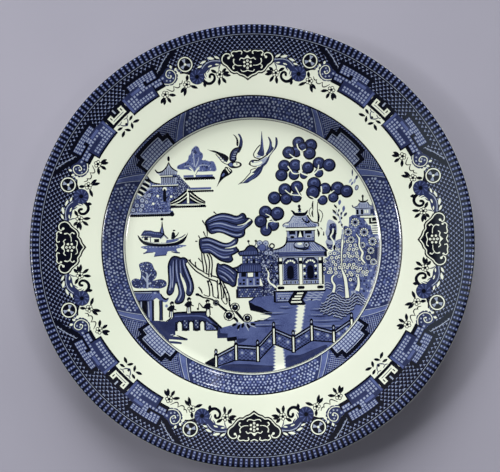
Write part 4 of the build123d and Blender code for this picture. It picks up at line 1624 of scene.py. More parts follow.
def willow_twigs(art):
    """Loose twigs, knots in the bark, and pale rootlets with dark leaves at the water."""
    for twig in ([(-29.2, 15.6), (-27.2, 12), (-26.4, 8), (-26.8, 5.2)], [(-28.7, 9), (-27.4, 5.8)],
                 [(-22.4, 20.6), (-20.8, 19.2)], [(-31.7, 6.6), (-30.6, 4.4)], [(-33.6, 3.2), (-32.2, 3.2)],
                 [(-33.8, -9), (-33.6, -11.4), (-32, -13.8)], [(-37, -7.4), (-36.4, -9.8)],
                 [(-32, -6.8), (-30.0, -9.4)]):
        art.line("line", twig, tapered(twig, 0.8, 0.6)[:-1] + [0.5])
    for mark in ((-26.2, -21), (-24.6, -22.6), (-19.9, -22.4), (-16.6, -24.6), (-15.2, -27.6),
                 (-24.6, -16.4)):
        art.disc("line", mark, 0.8, 9, squash=0.6, lean=70)
    for root in ([(-9.4, -45.6), (-11, -46.8), (-13.6, -47.8)], [(-8.4, -45.6), (-8.8, -48), (-9.2, -50.4)],
                 [(-5.2, -45.4), (-4.2, -48), (-3.0, -50.8)], [(-3.4, -45.4), (-1.4, -47.4), (1.4, -48.8)]):
        art.line("wash", root, [1.6, 1.0, 0.3])
    for spot, lean in (((-11.4, -46.9), 20), ((-6.4, -47.4), 70), ((-3.2, -47.8), 120), ((-0.4, -46.9), 170),
                       ((-8.9, -48.2), 60)):
        art.disc("line", spot, 1.6, 12, squash=0.5, lean=lean)


def bank_flowers(art):
    """The big round flowers that grow by the willow's root."""
    for x, y, radius in ((-22, -33.6, 1.9), (-10.8, -36.6, 2.9), (-14.4, -41.4, 3.3), (-3.6, -43.2, 2.8)):
        art.disc("line", (x, y), radius, 20, squash=0.95)
        art.disc("white", (x, y), radius - 0.55, 20, squash=0.95)
        for petal in range(6):
            angle = math.radians(60 * petal + 20)
            reach = 0.864 * radius
            end = (x + reach * math.cos(angle), y + reach * math.sin(angle))
            art.line("navy", [(x, y), end], 0.4, smooth=False)
        art.disc("line", (x, y), radius * 0.64, 14)
        art.disc("wash", (x + 0.1, y + 0.15 * radius), radius * 0.14, 7)


# The far side of the water.


def island_trees(art):
    """The island's wash of colour, its shrubs, and the long leaves left of the tower."""
    art.area("wash", [(-50.6, 36), (-44, 36), (-37.4, 33.6), (-27.8, 26.4), (-27.6, 25.2), (-48, 25.2)])
    foliage(art, [(-72.6, 20.8), (-46.6, 20.8), (-46.6, 25.6), (-44.4, 30), (-44, 36.4), (-62, 36.4),
                  (-64.6, 33), (-70, 31), (-73, 26)], "cobalt", ("wash", "wash", "navy", "navy", "line"), 1.2,
            31, False)
    for x, y, radius in ((-67, 30.6, 1.7), (-65, 33, 1.7), (-63.2, 31.2, 1.5), (-60.8, 31.6, 1.6),
                         (-65, 28.6, 1.8), (-68.2, 25.6, 1.6), (-65, 25.4, 1.7), (-66, 22.8, 1.5),
                         (-70.4, 22.8, 1.6), (-62.4, 27.6, 1.4), (-70.6, 28.2, 1.4)):
        art.disc("navy", (x, y), radius, 14)
        art.disc("wash", (x, y), radius * 0.74, 12)
        art.disc("cobalt", (x, y), radius * 0.3, 8)
    foliage(art, [(-46.6, 43.2), (-42.8, 43.4), (-40.6, 40.6), (-38.2, 38), (-35.4, 35), (-38, 33.6),
                  (-41, 31.2), (-46.6, 29)], "navy", ("wash", "wash", "cobalt"), 1.1, 32, False)
    art.area("wash", [(-61.4, 43), (-59, 40), (-59, 36), (-62, 34), (-66, 31), (-71, 31), (-66, 40)])
    for row in range(4):
        x, y = -60.6 - 1.7 * row, 40.4 - 2.3 * row
        art.leaf("line", (x - 3.0, y + 1.2), (x + 2.2, y - 1.8), 2.2)
        art.leaf("white", (x - 3.2, y - 0.1), (x + 1.2, y - 2.6), 1.0)


def island_tower(art):
    """The island's tower: finial, top roof, storey, lower roof, and the door with its pointed hood."""
    art.disc("line", (-48.8, 53.2), 1.6, 12, squash=0.5, lean=90)
    art.area("wash", [(-48.8, 50.8), (-50.2, 48), (-52.2, 46), (-56.4, 45), (-54.2, 43.5), (-44, 43.5),
                      (-43.4, 45.4), (-45.8, 46.8), (-47.4, 48.6)])
    uprights(art, "navy", -53.4, -44.6, 43.6, 46.0, 1.1, 0.45)
    uprights(art, "navy", -50.2, -46.8, 46.0, 48.0, 1.1, 0.4)
    art.line("line", [(-57, 46.8), (-55.6, 45.2), (-53.4, 45.4), (-51.4, 46.8), (-49.8, 48.8), (-48.8, 51)],
             [0.6, 1.0, 0.9, 0.8, 0.8, 0.7])
    art.line("line", [(-48.8, 51), (-47.8, 48.8), (-46.2, 47), (-43.6, 45.4)], [0.7, 0.7, 0.8, 0.6])
    art.rule("navy", (-54.4, 43.4), (-43.8, 43.4), 0.5)
    art.rule("line", (-53.8, 42.2), (-44.2, 42.2), 0.8)
    art.block("wash", -53.6, -44.2, 37.8, 41.9)
    uprights(art, "navy", -53.0, -44.6, 37.8, 41.9, 1.05, 0.5)
    art.area("cobalt", [(-61.2, 42.6), (-59.8, 40.6), (-57.4, 39), (-53.6, 38.4), (-44.4, 38.4), (-43, 36.8),
                        (-59.4, 36.8)])
    hatch(art, "wash", [(-59.4, 40.4), (-56.8, 38.6), (-44, 38.4), (-43.4, 37.2), (-58.6, 37.2)], 62, 1.3,
          0.45)
    art.line("line", [(-61.6, 43.0), (-60.2, 40.4), (-57.6, 38.8), (-54, 38.2)], [0.6, 1.0, 0.9, 0.6])
    art.rule("white", (-59, 37.3), (-43.2, 37.3), 0.5)
    art.rule("line", (-60, 36.6), (-43, 36.6), 0.8)
    art.disc("white", (-51.4, 34.9), 1.3, 12)
    art.blob("line", [(-51.5, 35.2), (-50.6, 33.6), (-50.6, 28), (-52.4, 28), (-52.4, 33.6)])


def gabled_house(art):
    """The house beside the tower, its gable striped, on a row of round posts."""
    art.area("navy", [(-37.4, 34.4), (-48.2, 26.6), (-48.2, 25), (-27.2, 25), (-27.2, 26.4)])
    for step in range(5):
        drop = 1.25 * step
        ink, width = ("white", 0.5) if step % 2 else ("line", 1.2)
        art.line(ink, [(-37.6, 34.4 - drop), (-42.6, 30.2 - drop * 0.8), (-48.2, 26.8 - drop * 0.45)], width)
        art.line(ink, [(-36.6, 33.6 - drop), (-31.8, 29.4 - drop * 0.7), (-27.4, 26.4 - drop * 0.35)], width)
    art.area("white", [(-38.1, 26.0), (-36.9, 26.0), (-36.9, 34.2), (-37.5, 35.0), (-38.1, 34.2)])
    art.rule("line", (-36.6, 26), (-36.6, 33.6), 0.45)
    art.rule("white", (-48.2, 25.4), (-27.2, 25.4), 0.5)
    for step in range(19):
        art.disc("line", (-47.6 + 1.12 * step, 24.1), 0.75, 8)


def island_terraces(art):
    """Terraces that reach to the right, and a few windows."""
    art.rule("line", (-40, 41.2), (-21.6, 41.4), 0.9)
    art.rule("cobalt", (-40, 42.4), (-22.4, 42.4), 1.2)
    for step in range(14):
        art.disc("line", (-38.6 + 1.3 * step, 40.6), 0.75, 7)
        art.disc("line", (-37.0 + 1.1 * step, 33.2), 0.7, 7)
    art.rule("cobalt", (-36, 34.8), (-23.6, 34.8), 1.3)
    art.rule("line", (-34.8, 33.4), (-23.6, 33.4), 0.8)
    for place in ((-47.6, 30.4), (-47.2, 22.6), (-55.6, 31), (-58.4, 26.4)):
        art.disc("white", place, 0.8, 8)


def island_shore(art):
    """The island's scalloped shoreline."""
    art.block("cobalt", -76, -46.4, 20.2, 21.0)
    art.rule("wash", (-73, 20.7), (-47, 20.7), 0.45)
    for step in range(24):
        art.disc("line", (-73.0 + 1.14 * step, 19.4), 0.85, 8)
    art.block("line", -73.6, -46.4, 19.2, 20.1)
    art.disc("line", (-47.2, 19.8), 1.4, 12)


def blue_tree(art):
    """The pale blue tree beside the island."""
    crown = [(-32.4, 60.2), (-30.6, 59.2), (-29.8, 57), (-28.4, 55.6), (-28.2, 53.6), (-28.8, 52),
             (-26.4, 51.6), (-24.6, 51), (-22.4, 51), (-21.2, 49.4), (-20.6, 47.4), (-20.4, 46), (-21.4, 45),
             (-24, 45.2), (-28, 45), (-32, 45.2), (-35, 45.6), (-38, 46.6), (-41, 46.6), (-43.4, 47.2),
             (-43.2, 48.8), (-40.8, 50), (-38.4, 51), (-37, 52.4), (-36.6, 54.4), (-35.2, 56), (-34.8, 58)]
    art.blob("wash", [(x + (x + 32) * 0.03, y + (y - 50) * 0.04) for x, y in crown])
    art.blob("cobalt", crown)
    chance = random.Random(8)
    for place in scatter(crown, 2.2, chance):
        art.disc("wash" if chance.random() < 0.3 else "navy", place, chance.uniform(0.3, 0.75), 8, squash=0.6,
                 lean=60)
    for vein in ([(-34.4, 57.4), (-33.6, 53), (-33.4, 48)], [(-39.6, 48), (-36.4, 48.6), (-34.2, 46.4)],
                 [(-25.4, 48.6), (-29.4, 48.8), (-32.4, 46.6)],
                 [(-30.6, 53.6), (-31.4, 50.4), (-32.8, 47.6)]):
        art.line("wash", vein, [0.3, 0.6, 0.7])
    art.disc("navy", (-32.6, 56.6), 0.9, 9)
    art.disc("navy", (-26, 47.4), 0.9, 9)
    for bough, widths in (
        ([(-36.4, 47.6), (-34.6, 45.8), (-33.6, 43.8), (-33.2, 41.8)], [0.5, 0.9, 1.1, 1.2]),
        ([(-30.4, 47.6), (-32.2, 45.6), (-33.4, 43.4)], [0.5, 0.9, 1.1]),
    ):
        art.line("white", bough, widths)
        art.line("navy", [(x + 0.8, y - 0.2) for x, y in bough[1:]], 0.3)


def boat(art):
    """The little houseboat on the water, and its reflection."""
    art.blob("cobalt", [(-66.2, 0.8), (-64.6, -0.4), (-62.4, -1.2), (-64.4, -3.4), (-60.6, -2.6),
                        (-57.6, -2.8), (-58, -5.0), (-51.2, -4.4), (-50.2, -2.4), (-46.6, -2.4),
                        (-43.8, -3.6), (-45, -1.2), (-42, -0.2), (-38.8, 0.8), (-44, 1.4), (-60, 1.4)], 3)
    art.line("navy", [(-58.4, -5.2), (-55, -4.8), (-51, -4.5)], [0.6, 0.5, 0.8])
    art.line("navy", [(-64.8, -3.3), (-62.6, -2.9), (-58.6, -2.7)], [0.9, 0.6, 0.3])
    art.line("navy", [(-48, -2.6), (-45.6, -3.2), (-43, -3.4)], [0.4, 0.8, 0.9])
    for step in range(13):
        art.disc("wash", (-64.8 + 2.0 * step, 0.4), 0.55, 8, squash=0.6)
    art.blob("line", [(-68, 7.9), (-67.4, 5.6), (-66.4, 4), (-64, 2.0), (-60, 1.0), (-54, 0.5), (-48, 0.7),
                      (-44, 1.3), (-40.6, 2.8), (-38.9, 5.4), (-37.9, 8.8), (-39, 6.8), (-41.4, 4.9),
                      (-45, 3.1), (-50, 2.3), (-56, 2.3), (-60, 2.9), (-64, 4.1), (-66, 5.7)])
    art.area("cobalt", [(-63.4, 4.0), (-60, 3.0), (-56, 2.5), (-50, 2.5), (-46, 3.2), (-43, 4.4),
                        (-44.6, 5.0), (-51, 4.4), (-58, 5)])
    art.area("white", [(-65.8, 7), (-65.2, 5.2), (-63.6, 4.2), (-60, 3.2), (-54, 2.6), (-52.6, 6), (-59, 7)])
    art.area("navy", [(-66.2, 7.4), (-64.9, 9.7), (-63.8, 10.6), (-60, 10.4), (-58, 9.7), (-54.2, 9.3),
                      (-52.6, 8), (-52.8, 6.2), (-59, 6.0), (-60, 7.0), (-65.0, 7.2)])
    art.line("cobalt", [(-64.4, 8.4), (-61.6, 9.2), (-57.6, 8.4), (-53.6, 7.8)], [0.5, 0.9, 0.8, 0.5])
    uprights(art, "navy", -63.2, -54.0, 6.8, 9.2, 1.3, 0.35)
    art.block("line", -64.1, -61.9, 4.6, 6.4)
    art.block("line", -58.2, -55.2, 3.2, 5.2)
    art.line("navy", [(-65.0, 6.6), (-59.4, 6.4), (-52.8, 5.8)], 0.6)
    art.disc("navy", (-65.2, 6.3), 0.5, 8)
    art.rule("navy", (-60.4, 6.8), (-60.4, 3.2), 0.5)


def boat_stern(art):
    """The cabin's tall finial and gabled porch, and the seated boatman with an oar."""
    art.area("line", [(-55.0, 9.2), (-53.8, 12.6), (-53.5, 15.6), (-53.1, 15.6), (-52.8, 12.6), (-51.8, 7.4),
                      (-53.4, 8)])
    art.area("cobalt", [(-54.2, 9.4), (-53.4, 12.8), (-53.0, 11), (-52.6, 8.6), (-53.4, 8.6)])
    art.disc("line", (-53.3, 17), 0.85, 10)
    art.area("white", [(-52.2, 7.6), (-54.2, 5.4), (-53.6, 2.8), (-51.2, 2.8), (-50.6, 5.2)])
    art.line("line", [(-54.8, 5.4), (-52.2, 7.8), (-49.8, 5.2)], 0.6, smooth=False)
    art.line("wash", [(-54.4, 5.0), (-52.2, 7.0), (-50.4, 5.0)], 0.4, smooth=False)
    art.area("line", [(-48.1, 5.0), (-47.6, 8.6), (-46.8, 9.4), (-45.8, 8.6), (-45.4, 5.6), (-46.6, 4.8)])
    art.disc("line", (-46.2, 10.0), 0.8, 10, squash=0.6)
    art.line("line", [(-46, 6.2), (-44.6, 7.0), (-43.4, 8.8)], [0.9, 0.6, 0.5])
    art.line("navy", [(-45.4, 5.0), (-42, 5.8), (-39.4, 7.6)], [0.4, 0.7, 0.4])


def bridge_walker(art, x, foot, lean):
    """A small robed figure crossing the bridge; lean is how far it stoops to the right."""
    top = foot + 9.0
    robe = [
        (x - 1.3, foot), (x + 1.2, foot), (x + 1.0 + 0.2 * lean, foot + 4.4),
        (x - 1.0 + 0.2 * lean, foot + 4.4),
    ]
    art.area("white", robe)
    art.line("line", [(x - 1.3, foot), (x - 0.9, foot + 3.8)], 0.7)
    art.line("line", [(x + 1.2, foot), (x + 1.0, foot + 3.8)], 0.7)
    art.line("cobalt", [(x, foot + 0.3), (x, foot + 3.4)], 0.5)
    art.blob("line", [
        (x - 2.6, foot + 4.8), (x - 0.6, foot + 3.4), (x + 1.3, foot + 3.9),
        (x + 1.7 + 0.3 * lean, foot + 6.6), (x + 0.3 * lean, foot + 7.3), (x - 1.2 + 0.3 * lean, foot + 6.6),
    ])
    art.disc("line", (x + 0.4 * lean, foot + 7.8), 1.05, 10)
    art.disc("white", (x + 0.4 * lean + 0.2, foot + 7.5), 0.5, 8)
    hat = [(x - 1.2 + 0.4 * lean, foot + 8.0), (x + 0.4 * lean, top), (x + 1.4 + 0.4 * lean, foot + 8.3)]
    art.line("line", hat, [0.6, 1.1, 0.6])
    art.line("line", [(x + 0.8, foot + 5.2), (x + 3.0, foot + 4.2)], [1.0, 0.5])


def bridge(art):
    """The three-arched bridge with its three walkers."""
    art.area("navy", [(-47.2, -39.4), (-44, -38.9), (-30, -38.9), (-27.8, -39.4), (-26.2, -42), (-22, -45.8),
                      (-19, -48.6), (-20.4, -50.2), (-46.4, -50.2), (-51, -46), (-51, -43.8), (-48.4, -42.4)])
    art.line("line", [(-51.8, -44), (-49.4, -42.4), (-47.6, -40), (-46, -39.1), (-38, -38.9), (-30, -38.9),
                      (-27.8, -39.3), (-26, -42), (-22.2, -45.6), (-18.8, -48.8)],
             [0.5, 0.8, 0.9, 1.1, 1.2, 1.2, 1.2, 1.3, 1.3, 1.0])
    art.line("cobalt", [(-46.6, -41.2), (-40, -41.0), (-32, -41.2), (-28, -42.4), (-24.6, -45.6)], 0.7)
    art.block("white", -46.4, -21.6, -51.4, -49.8)
    for left, right, foot in ((-42.3, -38.3, -49.8), (-35.7, -31.7, -50.0)):
        art.blob("line", [(left, -43.6), (right, -43.6), (right + 0.1, foot + 1.4), (right - 1, foot),
                          (left + 1, foot), (left - 0.1, foot + 1.4)])
        art.blob("navy",
                 [(left + 0.8, -43), (right - 0.8, -43), (right - 0.8, foot + 2), (left + 0.8, foot + 2)])
        for step in range(4):
            art.disc("wash", (left + 1.6 + step % 2 * 0.9, -44 - 1.2 * step), 0.4, 7)
    art.area("line", [(-28.9, -44), (-21, -47.6), (-21, -50.2), (-28.4, -50.2), (-29, -49)])
    foliage(art, [(-28.2, -44.4), (-24.4, -46.8), (-22, -49.4), (-28.2, -49.4)], "cobalt", ("wash", "navy"),
            1.3, 41, False)
    art.rule("line", (-45.9, -44.6), (-45.9, -49.8), 1.0)
    for left, right in ((-45.0, -42.6), (-38.0, -36.0), (-31.5, -29.3)):
        middle = (left + right) / 2
        arch = [(left, -51), (left, -46), (middle - 0.5 * (right - left) * 0.7, -44.9), (middle, -44.4),
                (middle + 0.5 * (right - left) * 0.7, -44.9), (right, -46), (right, -51)]
        art.line("line", arch[1:-1], 1.4)
        art.area("white", arch)
    for x, foot, lean in ((-48.6, -41.6, 1.0), (-38.2, -39.4, 0.4), (-26.8, -40.8, -0.6)):
        bridge_walker(art, x, foot, lean)
    art.line("line", [(-27.6, -36.4), (-29.8, -36.2), (-32, -33.6), (-32.4, -36.4)], [1.2, 0.8, 0.5, 0.4])
    art.disc("line", (-32.8, -37.0), 0.75, 9)
    art.rule("white", (-26.9, -38), (-26.7, -41.6), 1.0)


def gate_tree(art):
    """The tree behind the gate house."""
    crown = [(-67.4, -9.6), (-63, -8.2), (-59.8, -9.4), (-58.4, -12.6), (-56.8, -15), (-57.6, -18),
             (-59.4, -19.6), (-54.6, -18.8), (-51.4, -20.4), (-51.6, -23), (-55.4, -24.4), (-60.8, -23.8),
             (-68, -24), (-71, -23), (-72, -19.6), (-69.6, -18), (-67, -18.6), (-66.4, -14.6)]
    foliage(art, crown, "navy", ("wash", "cobalt", "cobalt"), 1.45, 51)
    for x, y, radius in ((-68.6, -20.6, 1.5), (-56.0, -21.8, 1.5), (-61.8, -14.6, 1.4), (-58.8, -21.0, 0.9),
                         (-64.6, -20.0, 1.6), (-60.8, -17.6, 1.5), (-63.8, -16.6, 1.8)):
        art.disc("navy", (x, y), radius, 10)
    for bough, widths in (
        ([(-62.6, -24.6), (-62.5, -20), (-62.2, -17.6), (-60.4, -15.4)], [1.1, 0.9, 0.7, 0.5]),
        ([(-62.5, -20.6), (-64.2, -18.2), (-65.6, -16.6)], [1.1, 0.9, 0.7]),
        ([(-63, -19), (-62.6, -16), (-63.6, -14.6)], [1.1, 0.9, 0.7]),
        ([(-62.3, -21.6), (-60.4, -20.8)], [1.1, 0.9]),
    ):
        art.line("wash", bough, widths)


def gate_bank(art):
    """The bank that the gate house stands on, with strokes of dark water below it."""
    art.area("navy", [(-76, -43.4), (-60, -43.4), (-54, -43.6), (-50.6, -44.2), (-47.4, -42.2), (-46.4, -44),
                      (-46.2, -50), (-46.4, -52), (-50, -53.4), (-51, -62), (-76, -62)])
    art.blob("navy", [(-60, -46), (-56, -48.4), (-50, -49.4), (-47, -48), (-47, -52), (-52, -54), (-58, -52)])
    art.line("navy", [(-52.4, -53.2), (-46, -54), (-39.8, -54.8)], [2.4, 1.8, 1.3], ends=True)
    art.line("line", [(-45.6, -52.4), (-42, -53.8), (-40.4, -54.8)], [0.5, 0.8, 1.1])
    art.line("navy", [(-50.6, -56.2), (-46, -56.6), (-43.2, -57.0)], [1.4, 1.4, 1.1], ends=True)
    art.disc("wash", (-48.6, -51.8), 1.0, 10, squash=0.5)


def gate_house(art):
    """The gate house at the bridge's left end: eaves, posts, screens and the open gate."""
    art.area("white", [(-58.9, -31), (-53.2, -33), (-50.0, -31), (-50.6, -40), (-51.8, -43), (-54, -43.8),
                       (-58.9, -43.2)])
    art.area("navy", [(-76, -25.4), (-56, -25.4), (-54.6, -28), (-59, -31), (-59.2, -43.4), (-76, -43.4)])
    art.line("white", [(-72, -24.8), (-56.6, -24.8)], [1.2, 0.9], smooth=False)
    art.rule("line", (-72, -25.8), (-55.4, -25.8), 0.8)
    art.rule("wash", (-71, -26.6), (-60, -26.7), 0.5)
    art.area("cobalt", [(-70, -27.4), (-60, -27.4), (-58.8, -30.8), (-68.4, -31)])
    hatch(art, "navy", [(-66.6, -27.6), (-59.8, -27.6), (-60.8, -30.6), (-67.4, -30.6)], 55, 1.15, 0.5)
    art.blob("cobalt", [(-59.4, -26.6), (-56, -26.4), (-54.2, -28.4), (-52.6, -30.2), (-50.6, -30.6),
                        (-49.8, -29.8), (-50.8, -32), (-52.4, -32.6), (-55, -31.6), (-57.4, -29.8),
                        (-59.6, -30)])
    art.line("line", [(-54.8, -27.6), (-53.6, -29.6), (-52, -30.8), (-50.2, -30.2)], [0.7, 1.0, 1.2, 0.6])
    for x in (-58.2, -56.6):
        art.disc("wash", (x, -27.0), 0.6, 8)
    art.disc("navy", (-56.4, -26.8), 0.7, 8)
    for left, right, ink in ((-65.8, -63, "line"), (-61.6, -60.2, "cobalt"), (-60.0, -58.8, "line"),
                             (-55.9, -53.6, "line")):
        art.block(ink, left, right, -43.4 if right > -62 else -40.0, -31.4)
    art.block("line", -73.0, -67.2, -43.4, -31.6)
    art.block("navy", -55.3, -54.3, -43.4, -31.4)
    art.rule("wash", (-66.4, -32), (-66.4, -35.6), 0.7)
    art.rule("wash", (-62.3, -32), (-61.8, -41.4), 0.6)
    art.blob("white", [(-58.7, -43), (-56.1, -43), (-55.9, -33), (-57.2, -30.8), (-58.6, -33)])
    art.disc("wash", (-51.4, -34.8), 1.0, 10)
    art.disc("cobalt", (-51.4, -34.8), 0.5, 8)
    art.blob("navy",
             [(-59.6, -43.6), (-54, -43.8), (-50.8, -45), (-48, -47.6), (-47, -51), (-54, -52), (-60, -47)])


SCENE_PARTS = [
    island_trees, island_tower, gabled_house, island_terraces, island_shore, blue_tree, boat, boat_stern,
    near_bank, gate_tree, gate_bank, gate_house, bridge, rocks, flowering_trees, garden_shrubs, fence,
    small_pagoda, leafy_sprays, fruit_tree, bush_by_roof, terrace, ground_floor, main_roof, upper_floor,
    top_roof, small_house_top, small_house_foot, willow_trunk, willow_roots, willow_twigs, willow_fingers,
    willow_crown, bank_flowers, left_dove, right_dove,
]  # from the far distance to the doves in front


def scene_artwork():
    """The whole scene, each part drawn over those before it."""
    art = Artwork()
    for draw in SCENE_PARTS:
        draw(art)
    return art


def in_scene(point):
    """Whether an (x, y) lies in the scene's circle."""
    return math.hypot(point[0], point[1]) < SCENE_EDGE


def scene_guides():
    """The circle that ends the scene, and those where the face bends under it."""
    rings = [radius for radius in FACE_RADII if WELL_FLAT < radius < SCENE_EDGE] + [SCENE_EDGE]
    return [[polar((angle, radius)) for angle in range(0, 361, 3)] for radius in rings]


# --- Materials ---


def node(tree, kind, inputs=(), **settings):
    """A shader node with its settings; each input is (socket name, value or another node's output)."""
    made = tree.nodes.new(kind)
    for name, value in settings.items():
        setattr(made, name, value)
    for socket, value in inputs:
        if isinstance(value, bpy.types.NodeSocket):
            tree.links.new(value, made.inputs[socket])
        else:
            made.inputs[socket].default_value = value
    return made


def new_material(name):
    """A new material, its node tree, and the socket that gives the place on the object."""
    material = bpy.data.materials.new(name)
    material.use_nodes = True
    tree = material.node_tree
    tree.nodes.clear()
    place = node(tree, "ShaderNodeTexCoord").outputs["Object"]
    return material, tree, place


def noise_at(tree, place, size, detail=2.0, roughness=0.5):
    """Smooth noise whose lumps are about size metres across, from 0 to 1."""
    inputs = [("Vector", place), ("Scale", 1 / size), ("Detail", detail), ("Roughness", roughness)]
    return node(tree, "ShaderNodeTexNoise", inputs).outputs["Fac"]


def ramp(tree, value, low, high, start=0.0, end=1.0):
    """value between low and high, stretched to start and end."""
    inputs = [("Value", value), ("From Min", low), ("From Max", high), ("To Min", start), ("To Max", end)]
    return node(tree, "ShaderNodeMapRange", inputs, clamp=True).outputs["Result"]


def blend(tree, share, first, second):
    """Two colours, or colour sockets, blended by a share."""
    mixer = node(tree, "ShaderNodeMix", [("Factor", share)], data_type="RGBA")
    for socket, value in ((mixer.inputs[6], first), (mixer.inputs[7], second)):
        if isinstance(value, bpy.types.NodeSocket):
            tree.links.new(value, socket)
        else:
            socket.default_value = (*value, 1.0)
    return mixer.outputs[2]


GLOSS = 0.08
GLAZE_IOR = 1.52
RIPPLE_SIZE = 0.022
RIPPLE_DEPTH = 0.00003
DRIFT_SIZE = 0.07
SPECKS_PER_METRE = 160.0
PATCH_SIZE = 0.009
GRAIN_SIZE = 0.0006
SOIL_SIZE = 0.006
PIT_SIZE = 0.0007
PIT_DEPTH = 0.00006
BARE_ROUGHNESS = 0.85
FLOOR_ROUGHNESS = 0.9


def finished(material, tree, inputs):
    """The material with its one shader joined to its output."""
    shader = node(tree, "ShaderNodeBsdfPrincipled", inputs)
    tree.links.new(shader.outputs[0], node(tree, "ShaderNodeOutputMaterial").inputs["Surface"])
    return material


def glossy_surface(material, tree, place, colour):
    """Clear glaze over a colour, its surface faintly rippled as glaze flows."""
    ripple = noise_at(tree, place, RIPPLE_SIZE, 1.0)
    bump = node(tree, "ShaderNodeBump", [("Height", ripple), ("Distance", RIPPLE_DEPTH), ("Strength", 1.0)])
    inputs = [("Base Color", colour), ("Roughness", GLOSS), ("IOR", GLAZE_IOR),
              ("Normal", bump.outputs["Normal"])]
    return finished(material, tree, inputs)


def glaze():
    """White ware under clear glaze: a warm white with slow drifts of tint and a few fine specks."""
    material, tree, place = new_material("glaze")
    drift = noise_at(tree, place, DRIFT_SIZE)
    colour = blend(tree, ramp(tree, drift, 0.35, 0.65), (0.765, 0.825, 0.68), (0.82, 0.865, 0.725))
    speck = node(tree, "ShaderNodeTexVoronoi",
                 [("Vector", place), ("Scale", SPECKS_PER_METRE), ("Randomness", 1.0)])
    mark = ramp(tree, speck.outputs["Distance"], 0.016, 0.03, 0.35, 0.0)
    colour = blend(tree, mark, colour, (0.42, 0.40, 0.34))
    return glossy_surface(material, tree, place, colour)


def ink(name, thin, thick, grain_share):
    """Print under the glaze: thick and thin patches, broken by the fine grain of the engraving."""
    material, tree, place = new_material("print_" + name)
    patches = noise_at(tree, place, PATCH_SIZE, 3.0, 0.6)
    stipple = noise_at(tree, place, GRAIN_SIZE, 1.0, 0.4)
    colour = blend(tree, ramp(tree, patches, 0.3, 0.7), thin, thick)
    colour = blend(tree, ramp(tree, stipple, 0.42, 0.58, 0.0, grain_share), colour, thin)
    return glossy_surface(material, tree, place, colour)


def bare_ware():
    """Unglazed biscuit ware on the foot's rest, slightly soiled and pitted."""
    material, tree, place = new_material("bare_ware")
    soil = noise_at(tree, place, SOIL_SIZE, 4.0, 0.65)
    pits = noise_at(tree, place, PIT_SIZE, 2.0)
    colour = blend(tree, ramp(tree, soil, 0.4, 0.75), (0.74, 0.68, 0.56), (0.50, 0.43, 0.33))
    bump = node(tree, "ShaderNodeBump", [("Height", pits), ("Distance", PIT_DEPTH), ("Strength", 0.8)])
    inputs = [("Base Color", colour), ("Roughness", BARE_ROUGHNESS), ("Normal", bump.outputs["Normal"])]
    return finished(material, tree, inputs)


INK_TONES = {
    "line": ((0.002, 0.003, 0.011), (0.001, 0.0015, 0.005), 0.3),
    "navy": ((0.027, 0.037, 0.108), (0.012, 0.0165, 0.053), 0.5),
    "cobalt": ((0.104, 0.137, 0.306), (0.048, 0.064, 0.184), 0.5),
    "wash": ((0.38, 0.43, 0.53), (0.24, 0.285, 0.42), 0.5),
}  # thin colour, thick colour, and how much the grain shows
INKS = {name: ink(name, *tones) for name, tones in INK_TONES.items()}


# --- The plate ---

BARE_TOP = 0.8  # the glaze is wiped off the foot up to this height


def build_ware():
    """The ware in its glaze and, on the foot's rest, bare."""
    middle = SECTION.index(min(SECTION, key=lambda point: (point.y, point.x)))
    first = middle
    while SECTION[first - 1].y < BARE_TOP:
        first -= 1
    last = middle
    while SECTION[last + 1].y < BARE_TOP:
        last += 1
    outside = new_object("glazed_ware", turned("glazed_ware", SECTION[:first + 1]), GLAZE)
    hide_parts("plate_body")
    new_object("glazed_underside", turned("glazed_underside", SECTION[last:]), GLAZE)
    new_object("foot_rest", turned("foot_rest", SECTION[first:last + 1]), bare_ware())


GLAZE = glaze()
build_ware()
print_on("rim_print", rim_artwork(), border_copies(), ring_guides(RIM_PRINT_INNER, TICK_OUTER), in_sector)
print_on("band_print", inner_artwork(), border_copies(), ring_guides(BAND_INNER, BAND_OUTER), in_sector)
print_on("scene_print", scene_artwork(), [np.eye(2)], scene_guides(), in_scene)


# --- Stage: floor, lights and camera ---

WELL_TOP = WELL_HEIGHT * MM
CAMERA_SIDE = Vector((0.050, -0.100, 1.0)).normalized()
CAMERA_DISTANCE = 0.85
CAMERA_AIM = Vector((-0.0010, 0.0055, WELL_TOP))
CAMERA_ROLL = math.radians(1.25)
LENS = 103.1
FLOOR_REACH = 3.0
ROOM_COLOUR = (0.93, 0.94, 1.0, 1.0)
ROOM_STRENGTH = 0.06


def look_at(thing, place, aim, roll=0.0):
    """Stands a camera or light at a place, turned to an aim, with +Y up in its view."""
    thing.location = place
    away = (place - aim).normalized()
    across = Vector((0, 1, 0)).cross(away).normalized()
    upward = away.cross(across)
    turn = Matrix((across, upward, away)).transposed()
    thing.rotation_euler = (turn @ Matrix.Rotation(roll, 3, "Z")).to_euler()


def add_light(name, place, size, power, colour=(1.0, 1.0, 1.0), mirrored_in_gloss=True):
    """A soft rectangular light that faces the plate; without gloss, it is polarised out of reflections."""
    lamp = bpy.data.lights.new(name, "AREA")
    lamp.shape = "RECTANGLE"
    lamp.size, lamp.size_y = size
    lamp.energy = power
    lamp.color = colour
    holder = bpy.data.objects.new(name, lamp)
    bpy.context.scene.collection.objects.link(holder)
    holder.visible_glossy = mirrored_in_gloss
    look_at(holder, Vector(place), Vector((0, 0, WELL_TOP)))


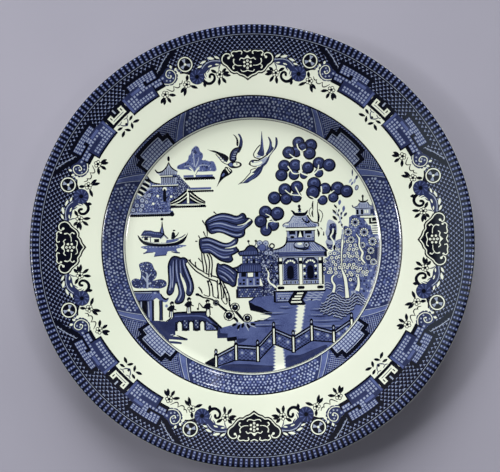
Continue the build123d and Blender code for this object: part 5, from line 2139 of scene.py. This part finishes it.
def floor_material():
    """A pale lavender-grey studio floor with the faint mottle of paper."""
    material, tree, place = new_material("studio_floor")
    mottle = noise_at(tree, place, 0.25, 3.0)
    colour = blend(tree, ramp(tree, mottle, 0.3, 0.7), (0.325, 0.32, 0.385), (0.375, 0.365, 0.435))
    return finished(material, tree, [("Base Color", colour), ("Roughness", FLOOR_ROUGHNESS)])


def build_floor():
    """The floor that the plate lies on."""
    mesh = bpy.data.meshes.new("floor")
    mesh.from_pydata([(x * FLOOR_REACH, y * FLOOR_REACH, 0.0) for x, y in SQUARE], [], [(0, 1, 2, 3)])
    mesh.materials.append(floor_material())
    floor = bpy.data.objects.new("floor", mesh)
    bpy.context.scene.collection.objects.link(floor)


def build_lights():
    """The room's faint light, and the studio lights."""
    world = bpy.data.worlds.new("room")
    world.use_nodes = True
    world.node_tree.nodes["Background"].inputs["Color"].default_value = ROOM_COLOUR
    world.node_tree.nodes["Background"].inputs["Strength"].default_value = ROOM_STRENGTH
    bpy.context.scene.world = world
    add_light("overhead", (-0.2, 3.5, 1.95), (3.2, 3.2), 188.0, (1.0, 0.995, 0.985), False)
    add_light("overhead_sheen", (-0.2, 3.5, 1.95), (3.2, 3.2), 60.0)
    add_light("front_fill", (0.0, -1.2, 1.6), (1.0, 1.0), 2.2, (0.95, 0.97, 1.0), False)
    add_light("upper_window", (0.165, 0.77, 0.33), (0.05, 0.12), 0.45)
    add_light("left_haze", (-0.29, 0.06, 1.15), (0.16, 0.34), 0.16, (0.72, 0.86, 1.0))
    add_light("upper_haze", (0.0, 0.33, 1.15), (0.5, 0.2), 0.07)
    add_light("left_fill", (-0.9, 0.3, 1.0), (0.5, 0.5), 3.0)
    add_light("left_window", (-0.95, 0.02, 1.05), (0.18, 0.2), 3.2)
    add_light("right_window", (0.62, 0.0, 1.05), (0.07, 0.14), 1.0)


def build_camera():
    """The camera, nearly square over the plate."""
    scene = bpy.context.scene
    lens = bpy.data.cameras.new("camera")
    lens.lens = LENS
    lens.clip_start = 0.01
    camera = bpy.data.objects.new("camera", lens)
    scene.collection.objects.link(camera)
    look_at(camera, CAMERA_AIM + CAMERA_SIDE * CAMERA_DISTANCE, CAMERA_AIM, -CAMERA_ROLL)
    scene.camera = camera
    scene.view_settings.view_transform = "Standard"


build_floor()
build_lights()
build_camera()
